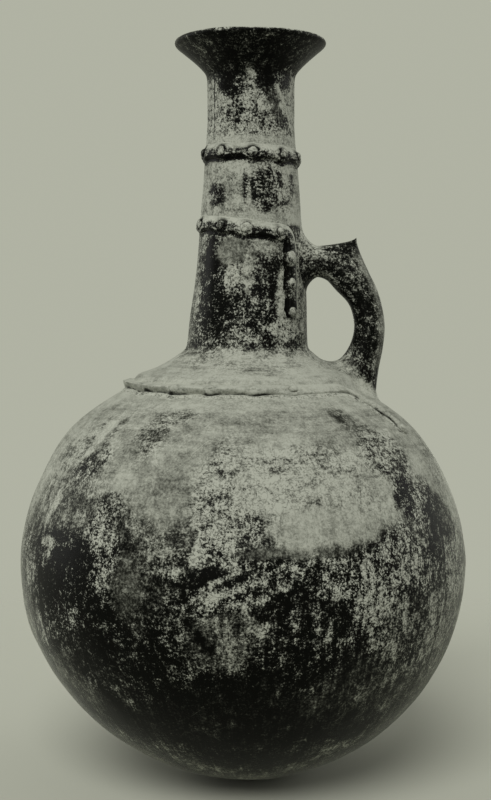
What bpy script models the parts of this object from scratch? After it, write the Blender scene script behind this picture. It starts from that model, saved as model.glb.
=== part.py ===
"""A round-bottomed, hand-built earthenware jug with a tall neck, applied cordons and one handle.

Metres, +Z up. The origin is under the middle of the belly, at the level of the rounded tip.
The handle is towards +X and the front of the jug faces -Y. A turn is an angle about the
upright axis, measured from the front towards the handle.
"""

import math

import bmesh
import bpy
from mathutils import Vector

# Body: a slightly pointed bowl below the widest level and a dome above it
BODY_RADIUS = 0.1370
BELLY_HEIGHT = 0.1340
CROWN_RISE = 0.1245
BODY_WALL = 0.0070
TIP_SHIFT = 0.0030
POINT_POWER = 1.07

# Levels where the coil-built stages of the body meet, and the slant of the luted edges
BASE_JOINT_SHARE = 0.212
BASE_JOINT_HEIGHT = BELLY_HEIGHT * BASE_JOINT_SHARE
LOWER_JOINT_SHARE = 0.562
LOWER_JOINT_HEIGHT = BELLY_HEIGHT * LOWER_JOINT_SHARE
SHOULDER_JOINT_SHARE = 0.4659
SHOULDER_JOINT_HEIGHT = BELLY_HEIGHT + CROWN_RISE * SHOULDER_JOINT_SHARE
CROWN_JOINT_SHARE = 0.712
CROWN_JOINT_HEIGHT = BELLY_HEIGHT + CROWN_RISE * CROWN_JOINT_SHARE
SCARF_RISE = 0.0060

# Neck: a tapered tube, set a little towards the handle
NECK_LENGTH = 0.1880
NECK_ROOT_RISE = 0.0075
NECK_ROOT_HEIGHT = BELLY_HEIGHT + CROWN_RISE + NECK_ROOT_RISE
NECK_ROOT_RADIUS = 0.0376
NECK_TOP_RADIUS = 0.0264
NECK_TAPER_SHARE = 0.7234
NECK_TAPER_TOP_HEIGHT = NECK_ROOT_HEIGHT + NECK_LENGTH * NECK_TAPER_SHARE
NECK_SOCKET_DEPTH = 0.0240
NECK_FOOT_HEIGHT = NECK_ROOT_HEIGHT - NECK_SOCKET_DEPTH
NECK_JOINT_SHARE = 0.434
NECK_JOINT_HEIGHT = NECK_ROOT_HEIGHT + NECK_LENGTH * NECK_JOINT_SHARE
NECK_WALL = 0.0055
NECK_SHIFT = 0.0048
SHIFT_START_RISE = 0.0660
SHIFT_START_HEIGHT = BELLY_HEIGHT + SHIFT_START_RISE
SHIFT_LENGTH = 0.1300

# Rim: a trumpet mouth with a flat-topped lip
LIP_HEIGHT = NECK_ROOT_HEIGHT + NECK_LENGTH
LIP_DEPTH = 0.0045
FLARE_EDGE_HEIGHT = LIP_HEIGHT - LIP_DEPTH
FLARE_LENGTH = 0.0175
FLARE_FOOT_HEIGHT = FLARE_EDGE_HEIGHT - FLARE_LENGTH
RIM_JOINT_DROP = 0.0100
RIM_JOINT_HEIGHT = FLARE_FOOT_HEIGHT - RIM_JOINT_DROP
FLARE_SPREAD = 0.0178
FLARE_EDGE_RADIUS = NECK_TOP_RADIUS + FLARE_SPREAD
LIP_OVERHANG = 0.0017
LIP_RADIUS = FLARE_EDGE_RADIUS + LIP_OVERHANG
LIP_FLAT_WIDTH = 0.0032
LIP_ROUND = 0.0012
FLARE_POWER = 1.25

# Collar of clay smoothed round the root of the neck
COLLAR_SPREAD = 0.0286
COLLAR_RADIUS = NECK_ROOT_RADIUS + COLLAR_SPREAD
COLLAR_EDGE_THICKNESS = 0.0070
COLLAR_POWER = 1.5

# Cordons: applied strips of clay
NECK_CORDON_WIDTH = 0.0080
NECK_CORDON_RELIEF = 0.0024
SHOULDER_CORDON_WIDTH = 0.0088
SHOULDER_CORDON_RELIEF = 0.0048
CORDON_POWER = 0.6
UPPER_CORDON_SHARE = 0.625
UPPER_CORDON_HEIGHT = NECK_ROOT_HEIGHT + NECK_LENGTH * UPPER_CORDON_SHARE
UPPER_CORDON_TILT = 0.0013
LOWER_CORDON_SHARE = 0.3819
LOWER_CORDON_HEIGHT = NECK_ROOT_HEIGHT + NECK_LENGTH * LOWER_CORDON_SHARE
LOWER_CORDON_TILT = 0.0040
LOWER_CORDON_END_TURN = math.radians(36.0)
LOWER_DROP_TURN = math.radians(47.0)
LOWER_DROP_FOOT_SHARE = 0.101
LOWER_DROP_FOOT_HEIGHT = NECK_ROOT_HEIGHT + NECK_LENGTH * LOWER_DROP_FOOT_SHARE
COLLAR_CLEARANCE = 0.0004
SHOULDER_CORDON_RADIUS = COLLAR_RADIUS + 0.5 * SHOULDER_CORDON_WIDTH + COLLAR_CLEARANCE
SHOULDER_CORDON_END_TURN = math.radians(45.0)
SHOULDER_DROP_TURN = math.radians(67.0)
SHOULDER_DROP_FOOT_SHARE = 0.6506
SHOULDER_DROP_FOOT_HEIGHT = BELLY_HEIGHT + CROWN_RISE * SHOULDER_DROP_FOOT_SHARE

# Turn and height of a cordon's hanging end, as shares of its whole swing and drop
LOWER_DROP_SHARES = (
    (0.45, 0.01), (0.82, 0.06), (0.97, 0.14), (1.0, 0.26), (1.0, 0.38), (1.0, 0.50),
    (1.0, 0.62), (1.0, 0.74), (1.0, 0.86), (1.0, 0.94), (1.0, 1.0),
)
SHOULDER_DROP_SHARES = (
    (0.18, 0.02), (0.36, 0.10), (0.52, 0.24), (0.66, 0.40), (0.78, 0.57), (0.89, 0.76),
    (0.96, 0.91), (1.0, 1.0),
)
END_WIDTH_SHARES = (0.45, 0.85)

# Pellets pressed on the cordons
PELLET_RADIUS = 0.0036
PELLET_RELIEF = 0.0018
PELLET_EDGE = 0.0009
PELLET_BEND = math.radians(50.0)
LONG_PELLET_STRETCH = 1.5
UPPER_PELLET_TURNS = (-75, -38, 2, 41, 72, 106, 144, 182, 218, 252)
LOWER_PELLET_TURNS = (-75, -37, -4, 28)
SHOULDER_PELLET_TURNS = (-83, -58, -34, -16, 4, 23)
LOWER_DROP_PELLET_SHARES = ((1.0, 0.30, True), (1.0, 0.60, True), (1.0, 0.94, False))
SHOULDER_DROP_PELLET_SHARES = ((0.72, 0.48, False), (0.97, 0.92, False))

# Handle: a thick strap from the neck to the shoulder, with a tenon through the shoulder wall
HANDLE_REACH = 0.0780
HANDLE_TOP_SHARE = 0.2872
HANDLE_TOP_HEIGHT = NECK_ROOT_HEIGHT + NECK_LENGTH * HANDLE_TOP_SHARE
HANDLE_FOOT_DEPTH = 0.0090
HANDLE_THICKNESS = 0.0186
HANDLE_WIDTH = 0.0195
HANDLE_FLARE = 0.0030
HANDLE_INNER_FLARE = 0.0110
HANDLE_OUTER_FLARE = 0.0050
HANDLE_SQUARENESS = 2.8
HANDLE_PATH_SHARES = (
    (0.36, 0.985), (0.48, 0.995), (0.62, 1.0), (0.765, 0.965), (0.885, 0.865), (0.965, 0.72),
    (1.0, 0.55), (0.985, 0.40), (0.945, 0.26), (0.905, 0.12), (0.875, 0.0),
)
HANDLE_NECK_ROOT_SHARE = 0.34
HANDLE_FOOT_ROOT_SHARE = 0.42
TENON_RADIUS = 0.0060
TENON_LENGTH = 0.0240
TENON_DEPTH = 0.0153
TENON_REACH_SHARE = 0.8654
TENON_LEAN = math.radians(8.0)

# Spur on the handle's bend
SPUR_TIP_RISE = 0.0047
SPUR_TIP_HEIGHT = HANDLE_TOP_HEIGHT + 0.5 * HANDLE_THICKNESS + SPUR_TIP_RISE
SPUR_ROOT_SHARE = 0.323
SPUR_ROOT_HEIGHT = HANDLE_TOP_HEIGHT - HANDLE_THICKNESS * SPUR_ROOT_SHARE
SPUR_TIP_REACH_SHARE = 0.9026
SPUR_ROOT_REACH_SHARE = 0.7974
SPUR_ROOT_LENGTH = 0.0240
SPUR_ROOT_WIDTH = 0.0160
SPUR_TIP_WIDTH = 0.0022
SPUR_SHARES = ((0.0, 1.0), (0.45, 0.88), (0.72, 0.60), (0.90, 0.27), (1.0, 0.0))

# Gaps kept where pieces touch, and small working distances
SEAT_GAP = 0.0003
JOINT_GAP = 0.0004
MERGE_DISTANCE = 0.00001
SLOPE_STEP = 0.0005

# How finely round forms are divided
SEGMENTS = 48
BASE_RINGS = 4
WALL_RINGS = 4
SEAT_RINGS = 8
NECK_RINGS = 5
FLARE_RINGS = 4
COLLAR_RINGS = 4
CORDON_ARC_STEPS = 6
PELLET_SEGMENTS = 8
HANDLE_STEPS_PER_SPAN = 2
HANDLE_SEGMENTS = 12
SHARP_ANGLE = math.radians(40.0)

# Finishes: linear colour, roughness, metallic
DARK_SLIP = ("dark_burnished_slip", (0.018, 0.019, 0.016), 0.40, 0.0)
WORN_SLIP = ("worn_pale_slip", (0.34, 0.345, 0.29), 0.62, 0.0)
GREY_SLIP = ("grey_mottled_slip", (0.11, 0.113, 0.095), 0.50, 0.0)


def clear_scene():
    for item in list(bpy.data.objects):
        bpy.data.objects.remove(item, do_unlink=True)


def finish_material(finish):
    name, colour, roughness, metallic = finish
    material = bpy.data.materials.get(name) or bpy.data.materials.new(name)
    material.use_nodes = True
    shader = material.node_tree.nodes["Principled BSDF"]
    shader.inputs["Base Color"].default_value = (*colour, 1.0)
    shader.inputs["Roughness"].default_value = roughness
    shader.inputs["Metallic"].default_value = metallic
    return material


def add_object(name, bm, finish=None):
    """Close the mesh work and link the result as a named object."""
    bmesh.ops.remove_doubles(bm, verts=bm.verts, dist=MERGE_DISTANCE)
    bmesh.ops.recalc_face_normals(bm, faces=bm.faces)
    mesh = bpy.data.meshes.new(name)
    bm.to_mesh(mesh)
    bm.free()
    mesh.shade_smooth()
    mesh.set_sharp_from_angle(angle=SHARP_ANGLE)
    item = bpy.data.objects.new(name, mesh)
    bpy.context.collection.objects.link(item)
    if finish:
        mesh.materials.append(finish_material(finish))
    else:
        item.hide_render = True
        item.display_type = "WIRE"
    return item


def cut(item, cutter, operation="DIFFERENCE"):
    modifier = item.modifiers.new(f"{operation.lower()}_{cutter.name}", "BOOLEAN")
    modifier.operation = operation
    modifier.solver = "EXACT"
    modifier.object = cutter


def blend(low, high, share):
    return low + (high - low) * share


def smooth_step(share):
    share = min(max(share, 0.0), 1.0)
    return share * share * (3.0 - 2.0 * share)


def axis_shift(height):
    """How far the jug's middle line leans towards the handle at a height."""
    below = max(0.0, 1.0 - height / BELLY_HEIGHT)
    above = smooth_step((height - SHIFT_START_HEIGHT) / SHIFT_LENGTH)
    return TIP_SHIFT * below * below + NECK_SHIFT * above


def body_radius(height, inset=0.0):
    """Radius of the body wall; the inset moves it inwards, or outwards when negative."""
    rise = BELLY_HEIGHT if height < BELLY_HEIGHT else CROWN_RISE
    level = min(1.0, abs(height - BELLY_HEIGHT) / (rise - inset))
    power = POINT_POWER if height < BELLY_HEIGHT else 1.0
    return (BODY_RADIUS - inset) * math.sqrt(1.0 - level * level) ** power


def crown_height(radius, inset=0.0):
    """Height of the dome above the widest level, at a radius."""
    level = radius / (BODY_RADIUS - inset)
    return BELLY_HEIGHT + (CROWN_RISE - inset) * math.sqrt(1.0 - level * level)


def neck_radius(height, inset=0.0):
    span = NECK_TAPER_TOP_HEIGHT - NECK_ROOT_HEIGHT
    share = min(max((height - NECK_ROOT_HEIGHT) / span, 0.0), 1.0)
    return blend(NECK_ROOT_RADIUS, NECK_TOP_RADIUS, share) - inset


def collar_height(radius):
    """Height of the collar's hollow upper face, at a radius."""
    edge_height = crown_height(COLLAR_RADIUS) + COLLAR_EDGE_THICKNESS
    share = (COLLAR_RADIUS - radius) / COLLAR_SPREAD
    return blend(edge_height, NECK_ROOT_HEIGHT, share**COLLAR_POWER)


def wall_line(low, high, rings, inset=0.0):
    """Points of the body wall from one height to another, evenly spaced round the curve."""
    def angle_of(height):
        rise = (BELLY_HEIGHT if height < BELLY_HEIGHT else CROWN_RISE) - inset
        return math.asin(min(1.0, max(-1.0, (height - BELLY_HEIGHT) / rise)))

    def height_of(angle):
        rise = (BELLY_HEIGHT if angle < 0.0 else CROWN_RISE) - inset
        return BELLY_HEIGHT + rise * math.sin(angle)

    first, last = angle_of(low), angle_of(high)
    heights = [height_of(blend(first, last, step / rings)) for step in range(rings + 1)]
    return [(body_radius(height, inset), height) for height in heights]


def turned(name, outline, finish=None):
    """Turn an outline of (radius, height) points about the jug's leaning middle line."""
    bm = bmesh.new()
    verts = [bm.verts.new((radius, 0.0, height)) for radius, height in outline]
    on_axis = outline[0][0] < MERGE_DISTANCE and outline[-1][0] < MERGE_DISTANCE
    pairs = list(zip(verts, verts[1:]))
    if not on_axis:
        pairs.append((verts[-1], verts[0]))
    edges = [bm.edges.new(pair) for pair in pairs]
    bmesh.ops.spin(
        bm, geom=verts + edges, cent=Vector(), axis=Vector((0.0, 0.0, 1.0)),
        angle=math.tau, steps=SEGMENTS, use_duplicate=False,
    )
    for vert in bm.verts:
        vert.co.x += axis_shift(vert.co.z)
    return add_object(name, bm, finish)


def make_base_bowl():
    outer = wall_line(0.0, BASE_JOINT_HEIGHT, BASE_RINGS)
    inner = wall_line(BODY_WALL, BASE_JOINT_HEIGHT + SCARF_RISE, BASE_RINGS, BODY_WALL)
    outer[0] = (0.0, outer[0][1])
    inner[0] = (0.0, inner[0][1])
    return turned("base_bowl", outer + inner[::-1], DARK_SLIP)


def make_wall_stage(name, joint_below, joint_above, finish):
    """One coil-built stage of the body, luted on slanted edges below and above."""
    low = joint_below + JOINT_GAP
    outer = wall_line(low, joint_above, WALL_RINGS)
    inner = wall_line(low + SCARF_RISE, joint_above + SCARF_RISE, WALL_RINGS, BODY_WALL)
    return turned(name, outer + inner[::-1], finish)


def make_crown_wall():
    hole = NECK_ROOT_RADIUS + SEAT_GAP
    low = CROWN_JOINT_HEIGHT + JOINT_GAP
    outer = wall_line(low, crown_height(hole), WALL_RINGS)
    inner = wall_line(low + SCARF_RISE, crown_height(hole, BODY_WALL), WALL_RINGS, BODY_WALL)
    wall = turned("crown_wall", outer + inner[::-1], WORN_SLIP)
    cut(wall, make_tenon("crown_tenon_cutter", SEAT_GAP))
    return wall


def neck_heights(low, high):
    """Levels of the neck's rings, with one at each change of slope."""
    shares = [step / NECK_RINGS for step in range(NECK_RINGS + 1)]
    steps = [blend(NECK_ROOT_HEIGHT, NECK_TAPER_TOP_HEIGHT, share) for share in shares]
    return [low] + [height for height in steps if low < height < high] + [high]


def make_neck_tube(name, low, joint_above, slant_below):
    """One stage of the neck; the slant below is the rise of its lower edge from outside to in."""
    outer = [(neck_radius(height), height) for height in neck_heights(low, joint_above)]
    inner_heights = neck_heights(low + slant_below, joint_above + SCARF_RISE)
    inner = [(neck_radius(height, NECK_WALL), height) for height in inner_heights]
    return turned(name, outer + inner[::-1], DARK_SLIP)


def flare_line(start, end, foot_radius, edge_radius):
    """Points of one side of the trumpet mouth, from its foot to its edge."""
    line = []
    for step in range(FLARE_RINGS + 1):
        share = step / FLARE_RINGS
        radius = blend(foot_radius, edge_radius, share**FLARE_POWER)
        line.append((radius, blend(start, end, share)))
    return line


def make_rim_funnel():
    low = RIM_JOINT_HEIGHT + JOINT_GAP
    flat_edge = LIP_RADIUS - LIP_ROUND
    flat_inner = flat_edge - LIP_FLAT_WIDTH
    outer = [(neck_radius(low), low)]
    outer += flare_line(FLARE_FOOT_HEIGHT, FLARE_EDGE_HEIGHT, NECK_TOP_RADIUS, FLARE_EDGE_RADIUS)
    lip = [
        (LIP_RADIUS, LIP_HEIGHT - 2.0 * LIP_ROUND),
        (LIP_RADIUS, LIP_HEIGHT - LIP_ROUND),
        (flat_edge, LIP_HEIGHT),
        (flat_inner, LIP_HEIGHT),
    ]
    bore = NECK_TOP_RADIUS - NECK_WALL
    throat = FLARE_FOOT_HEIGHT + LIP_ROUND
    inner = flare_line(throat, LIP_HEIGHT - LIP_ROUND, bore, flat_inner - LIP_ROUND)
    inner = [(bore, low + SCARF_RISE)] + inner
    return turned("rim_funnel", outer + lip + inner[::-1], DARK_SLIP)


def make_neck_root_collar():
    inner_radius = NECK_ROOT_RADIUS + SEAT_GAP
    shares = [step / COLLAR_RINGS for step in range(COLLAR_RINGS + 1)]
    radii = [blend(inner_radius, COLLAR_RADIUS, share) for share in shares]
    top = [(radius, collar_height(radius)) for radius in radii]
    under = [(radius, crown_height(radius, -SEAT_GAP)) for radius in radii]
    collar = turned("neck_root_collar", top + under[::-1], WORN_SLIP)
    cut(collar, make_tenon("collar_tenon_cutter", SEAT_GAP))
    return collar


def on_wall(radius_at, turn, height, lift):
    """A point above the outer wall: where it stands, and how far it lifts off squarely."""
    slope = (radius_at(height + SLOPE_STEP) - radius_at(height - SLOPE_STEP)) / (2.0 * SLOPE_STEP)
    away = Vector((math.sin(turn), -math.cos(turn), -slope)).normalized()
    radius = radius_at(height)
    foot = Vector((axis_shift(height) + radius * math.sin(turn), -radius * math.cos(turn), height))
    return foot + away * lift


def beside(radius_at, turn, height, heading, across):
    """Turn and height of a point a distance to one side of a heading over the wall."""
    slope = (radius_at(height + SLOPE_STEP) - radius_at(height - SLOPE_STEP)) / (2.0 * SLOPE_STEP)
    side_turn = -across * math.sin(heading) / radius_at(height)
    side_height = across * math.cos(heading) / math.sqrt(1.0 + slope * slope)
    return turn + side_turn, height + side_height


def headings(radius_at, path, closed):
    """Direction of a path at each point: 0 runs level, a quarter turn runs straight up."""
    found = []
    last = len(path) - 1
    for index in range(len(path)):
        before = path[index - 1] if closed or index > 0 else path[0]
        after = path[(index + 1) % len(path)] if closed or index < last else path[last]
        low = on_wall(radius_at, before[0], before[1], 0.0)
        high = on_wall(radius_at, after[0], after[1], 0.0)
        here = on_wall(radius_at, path[index][0], path[index][1], 0.0)
        step = high - low
        level = Vector((math.cos(path[index][0]), math.sin(path[index][0]), 0.0))
        above = on_wall(radius_at, path[index][0], path[index][1] + SLOPE_STEP, 0.0)
        found.append(math.atan2(step.dot((above - here).normalized()), step.dot(level)))
    return found


def bridge_rings(bm, rings, closed):
    """Join rings of equal count into a tube, and cap its ends unless it closes on itself."""
    pairs = list(zip(rings, rings[1:]))
    if closed:
        pairs.append((rings[-1], rings[0]))
    for first, second in pairs:
        for index in range(len(first)):
            other = (index + 1) % len(first)
            bm.faces.new((first[index], first[other], second[other], second[index]))
    if not closed:
        bm.faces.new(rings[0])
        bm.faces.new(rings[-1][::-1])


def cordon_section(half_width, relief):
    """Outline of a rounded strip as (across, lift) points, its flat underside last."""
    angles = [math.pi * step / CORDON_ARC_STEPS for step in range(CORDON_ARC_STEPS + 1)]
    section = [
        (half_width * math.cos(angle), relief * max(0.0, math.sin(angle)) ** CORDON_POWER)
        for angle in angles
    ]
    return section + [(0.0, 0.0)]


def make_cordon(name, radius_at, path, width, relief, finish, closed=False):
    """Lay a rounded strip along a path of (turn, height) points on the outer wall."""
    bm = bmesh.new()
    rings = []
    course = zip(path, headings(radius_at, path, closed))
    for index, ((turn, height), heading) in enumerate(course):
        from_end = min(index, len(path) - 1 - index)
        narrow = 1.0 if closed or from_end >= len(END_WIDTH_SHARES) else END_WIDTH_SHARES[from_end]
        half = 0.5 * width * narrow
        ring = []
        for across, lift in cordon_section(half, relief * narrow):
            side_turn, side_height = beside(radius_at, turn, height, heading, across)
            ring.append(bm.verts.new(on_wall(radius_at, side_turn, side_height, SEAT_GAP + lift)))
        rings.append(ring)
    bridge_rings(bm, rings, closed)
    return add_object(name, bm, finish)


def ring_turns(first, last):
    """Turns of a level run, one to a segment of the wall."""
    count = max(2, round((last - first) / (math.tau / SEGMENTS)))
    return [blend(first, last, step / count) for step in range(count + 1)]


def drop_points(end_turn, end_height, foot_turn, foot_height, shares):
    """Points of a cordon's hanging end."""
    return [
        (blend(end_turn, foot_turn, turn_share), blend(end_height, foot_height, height_share))
        for turn_share, height_share in shares
    ]


def mirrored(turn):
    """The same place on the far side of the jug."""
    return math.pi - turn


def upper_cordon_height(turn):
    return UPPER_CORDON_HEIGHT - UPPER_CORDON_TILT * math.sin(turn)


def lower_cordon_height(turn):
    return LOWER_CORDON_HEIGHT - LOWER_CORDON_TILT * math.sin(turn)


def shoulder_cordon_height(turn):
    return crown_height(SHOULDER_CORDON_RADIUS)


def lower_drop(shares):
    end = LOWER_CORDON_END_TURN
    foot = (LOWER_DROP_TURN, LOWER_DROP_FOOT_HEIGHT)
    return drop_points(end, lower_cordon_height(end), *foot, shares)


def shoulder_drop(shares):
    end = SHOULDER_CORDON_END_TURN
    foot = (SHOULDER_DROP_TURN, SHOULDER_DROP_FOOT_HEIGHT)
    return drop_points(end, shoulder_cordon_height(end), *foot, shares)


def hung_path(end_turn, height_at, drop):
    """A run round the far side of the jug from the handle, with both ends hanging down."""
    turns = ring_turns(mirrored(end_turn) - math.tau, end_turn)
    level = [(turn, height_at(turn)) for turn in turns]
    far = [(mirrored(turn) - math.tau, height) for turn, height in drop]
    return far[::-1] + level + drop


def make_cordons():
    turns = [math.tau * step / SEGMENTS for step in range(SEGMENTS)]
    upper = [(turn, upper_cordon_height(turn)) for turn in turns]
    lower = hung_path(LOWER_CORDON_END_TURN, lower_cordon_height, lower_drop(LOWER_DROP_SHARES))
    shoulder = hung_path(
        SHOULDER_CORDON_END_TURN, shoulder_cordon_height, shoulder_drop(SHOULDER_DROP_SHARES)
    )
    neck = (NECK_CORDON_WIDTH, NECK_CORDON_RELIEF, WORN_SLIP)
    body = (SHOULDER_CORDON_WIDTH, SHOULDER_CORDON_RELIEF, WORN_SLIP)
    make_cordon("upper_neck_cordon", neck_radius, upper, *neck, closed=True)
    make_cordon("lower_neck_cordon", neck_radius, lower, *neck)
    make_cordon("shoulder_cordon", body_radius, shoulder, *body)


def make_pellet(name, radius_at, turn, height, relief, stretch, finish):
    """A low button of clay on the crest of a cordon; the stretch lengthens it upright."""
    bm = bmesh.new()
    seat = SEAT_GAP + relief + SEAT_GAP

    def ring(size_share, lift):
        verts = []
        for step in range(PELLET_SEGMENTS):
            angle = math.tau * step / PELLET_SEGMENTS
            across = PELLET_RADIUS * size_share * math.cos(angle)
            along = PELLET_RADIUS * size_share * stretch * math.sin(angle)
            near_turn, near_height = beside(radius_at, turn, height, 0.0, along)
            near_turn += across / radius_at(height)
            verts.append(bm.verts.new(on_wall(radius_at, near_turn, near_height, lift)))
        return verts

    under = bm.verts.new(on_wall(radius_at, turn, height, seat))
    crest = bm.verts.new(on_wall(radius_at, turn, height, seat + PELLET_RELIEF))
    rings = [
        ring(1.0, seat),
        ring(1.0, seat + PELLET_EDGE),
        ring(math.cos(PELLET_BEND), seat + blend(PELLET_EDGE, PELLET_RELIEF, math.sin(PELLET_BEND))),
    ]
    for first, second in zip(rings, rings[1:]):
        for index in range(PELLET_SEGMENTS):
            other = (index + 1) % PELLET_SEGMENTS
            bm.faces.new((first[index], first[other], second[other], second[index]))
    for index in range(PELLET_SEGMENTS):
        other = (index + 1) % PELLET_SEGMENTS
        bm.faces.new((under, rings[0][other], rings[0][index]))
        bm.faces.new((crest, rings[-1][index], rings[-1][other]))
    return add_object(name, bm, finish)


def pellet_places(turns, height_at, drop=None, drop_shares=()):
    """Places of the pellets on one cordon, the hanging ends last: turn, height, stretch."""
    places = [(math.radians(turn), height_at(math.radians(turn)), 1.0) for turn in turns]
    for turn_share, height_share, is_long in drop_shares:
        turn, height = drop(((turn_share, height_share),))[0]
        places.append((turn, height, LONG_PELLET_STRETCH if is_long else 1.0))
    return places


def with_far_side(places):
    return places + [(mirrored(turn), height, stretch) for turn, height, stretch in places]


def make_pellets():
    upper = pellet_places(UPPER_PELLET_TURNS, upper_cordon_height)
    lower = pellet_places(
        LOWER_PELLET_TURNS, lower_cordon_height, lower_drop, LOWER_DROP_PELLET_SHARES
    )
    shoulder = pellet_places(
        SHOULDER_PELLET_TURNS, shoulder_cordon_height, shoulder_drop, SHOULDER_DROP_PELLET_SHARES
    )
    rows = (
        ("upper_neck_pellet", neck_radius, NECK_CORDON_RELIEF, upper),
        ("lower_neck_pellet", neck_radius, NECK_CORDON_RELIEF, with_far_side(lower)),
        ("shoulder_pellet", body_radius, SHOULDER_CORDON_RELIEF, with_far_side(shoulder)),
    )
    for name, radius_at, relief, places in rows:
        for number, (turn, height, stretch) in enumerate(places, 1):
            make_pellet(f"{name}_{number:02d}", radius_at, turn, height, relief, stretch, WORN_SLIP)


def handle_path():
    """Middle line of the handle in its upright plane, as smooth (reach, height) points."""
    foot = crown_height(HANDLE_REACH * HANDLE_PATH_SHARES[-1][0]) - HANDLE_FOOT_DEPTH
    keys = [
        Vector((HANDLE_REACH * reach_share, blend(foot, HANDLE_TOP_HEIGHT, height_share)))
        for reach_share, height_share in HANDLE_PATH_SHARES
    ]
    path = []
    for index in range(len(keys) - 1):
        before = keys[max(index - 1, 0)]
        start, end = keys[index], keys[index + 1]
        after = keys[min(index + 2, len(keys) - 1)]
        for step in range(HANDLE_STEPS_PER_SPAN):
            t = step / HANDLE_STEPS_PER_SPAN
            bend_in = 0.5 * (end - before)
            bend_out = 0.5 * (after - start)
            path.append(
                start * (2 * t**3 - 3 * t**2 + 1) + bend_in * (t**3 - 2 * t**2 + t)
                + end * (3 * t**2 - 2 * t**3) + bend_out * (t**3 - t**2)
            )
    return path + [keys[-1]]


def rounded_section(half_width, half_thickness):
    """Outline of a rounded bar as (sideways, outwards) points."""
    points = []
    for step in range(HANDLE_SEGMENTS):
        angle = math.tau * (step + 0.5) / HANDLE_SEGMENTS
        swing, lift = math.cos(angle), math.sin(angle)
        reach = abs(swing) ** HANDLE_SQUARENESS + abs(lift) ** HANDLE_SQUARENESS
        size = reach ** (-1.0 / HANDLE_SQUARENESS)
        points.append((half_width * swing * size, half_thickness * lift * size))
    return points


def root_share(share):
    """How far the handle has spread into a root: 0 along the bar, 1 at either end."""
    near_neck = max(0.0, 1.0 - share / HANDLE_NECK_ROOT_SHARE)
    near_foot = max(0.0, 1.0 - (1.0 - share) / HANDLE_FOOT_ROOT_SHARE)
    return near_neck * near_neck + near_foot * near_foot


def handle_mesh(extra):
    """The handle's bar, with its surface moved outwards by the extra distance."""
    bm = bmesh.new()
    path = handle_path()
    rings = []
    for index, point in enumerate(path):
        ahead = path[min(index + 1, len(path) - 1)] - path[max(index - 1, 0)]
        away = Vector((-ahead.y, ahead.x)).normalized()
        share = index / (len(path) - 1)
        flare = root_share(share)
        half_width = 0.5 * HANDLE_WIDTH + HANDLE_FLARE * flare + extra
        half_thickness = 0.5 * HANDLE_THICKNESS + extra
        ring = []
        for sideways, outwards in rounded_section(half_width, half_thickness):
            spread = HANDLE_INNER_FLARE if outwards < 0.0 else HANDLE_OUTER_FLARE
            outwards *= 1.0 + spread * flare / half_thickness
            place = point + away * outwards
            ring.append(bm.verts.new((place.x, sideways, place.y)))
        rings.append(ring)
    bridge_rings(bm, rings, closed=False)
    return bm


def make_tenon(name, extra):
    """The peg at the handle's foot, or its hole when grown by an extra distance."""
    bm = bmesh.new()
    bmesh.ops.create_cone(
        bm, cap_ends=True, segments=2 * HANDLE_SEGMENTS, radius1=TENON_RADIUS + extra,
        radius2=TENON_RADIUS + extra, depth=TENON_LENGTH,
    )
    reach = HANDLE_REACH * TENON_REACH_SHARE
    foot = Vector((reach, 0.0, crown_height(reach) - TENON_DEPTH))
    lengthwise = Vector((math.sin(TENON_LEAN), 0.0, math.cos(TENON_LEAN)))
    item = add_object(name, bm)
    item.location = foot + lengthwise * (0.5 * TENON_LENGTH)
    item.rotation_euler = (0.0, TENON_LEAN, 0.0)
    return item


def make_handle_seat():
    """Everything that the handle stands against, grown by the seat gap, as one cutter."""
    low = SHOULDER_JOINT_HEIGHT
    edge = COLLAR_RADIUS + SEAT_GAP
    outline = [(0.0, low)] + wall_line(low, crown_height(edge, -SEAT_GAP), SEAT_RINGS, -SEAT_GAP)
    outline.append((edge, collar_height(COLLAR_RADIUS) + SEAT_GAP))
    inner_radius = NECK_ROOT_RADIUS + SEAT_GAP
    for step in range(1, COLLAR_RINGS + 1):
        radius = blend(COLLAR_RADIUS, inner_radius, step / COLLAR_RINGS)
        outline.append((radius, collar_height(radius) + SEAT_GAP))
    top = NECK_TAPER_TOP_HEIGHT
    for height in neck_heights(NECK_ROOT_HEIGHT + SEAT_GAP, top)[1:]:
        outline.append((neck_radius(height, -SEAT_GAP), height))
    outline.append((0.0, top))
    return turned("handle_seat_cutter", outline)


def make_handle():
    handle = add_object("handle", handle_mesh(0.0), DARK_SLIP)
    cut(handle, make_handle_seat())
    cut(handle, make_tenon("handle_tenon", 0.0), "UNION")
    return handle


def make_thumb_spur():
    bm = bmesh.new()
    rings = []
    for rise_share, size_share in SPUR_SHARES:
        reach = HANDLE_REACH * blend(SPUR_ROOT_REACH_SHARE, SPUR_TIP_REACH_SHARE, rise_share)
        height = blend(SPUR_ROOT_HEIGHT, SPUR_TIP_HEIGHT, rise_share)
        half_length = 0.5 * blend(SPUR_TIP_WIDTH, SPUR_ROOT_LENGTH, size_share)
        half_width = 0.5 * blend(SPUR_TIP_WIDTH, SPUR_ROOT_WIDTH, size_share)
        ring = [
            bm.verts.new((reach + outwards, sideways, height))
            for sideways, outwards in rounded_section(half_width, half_length)
        ]
        rings.append(ring)
    bridge_rings(bm, rings, closed=False)
    spur = add_object("thumb_spur", bm, DARK_SLIP)
    cut(spur, add_object("spur_seat_cutter", handle_mesh(SEAT_GAP)))
    return spur


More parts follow.
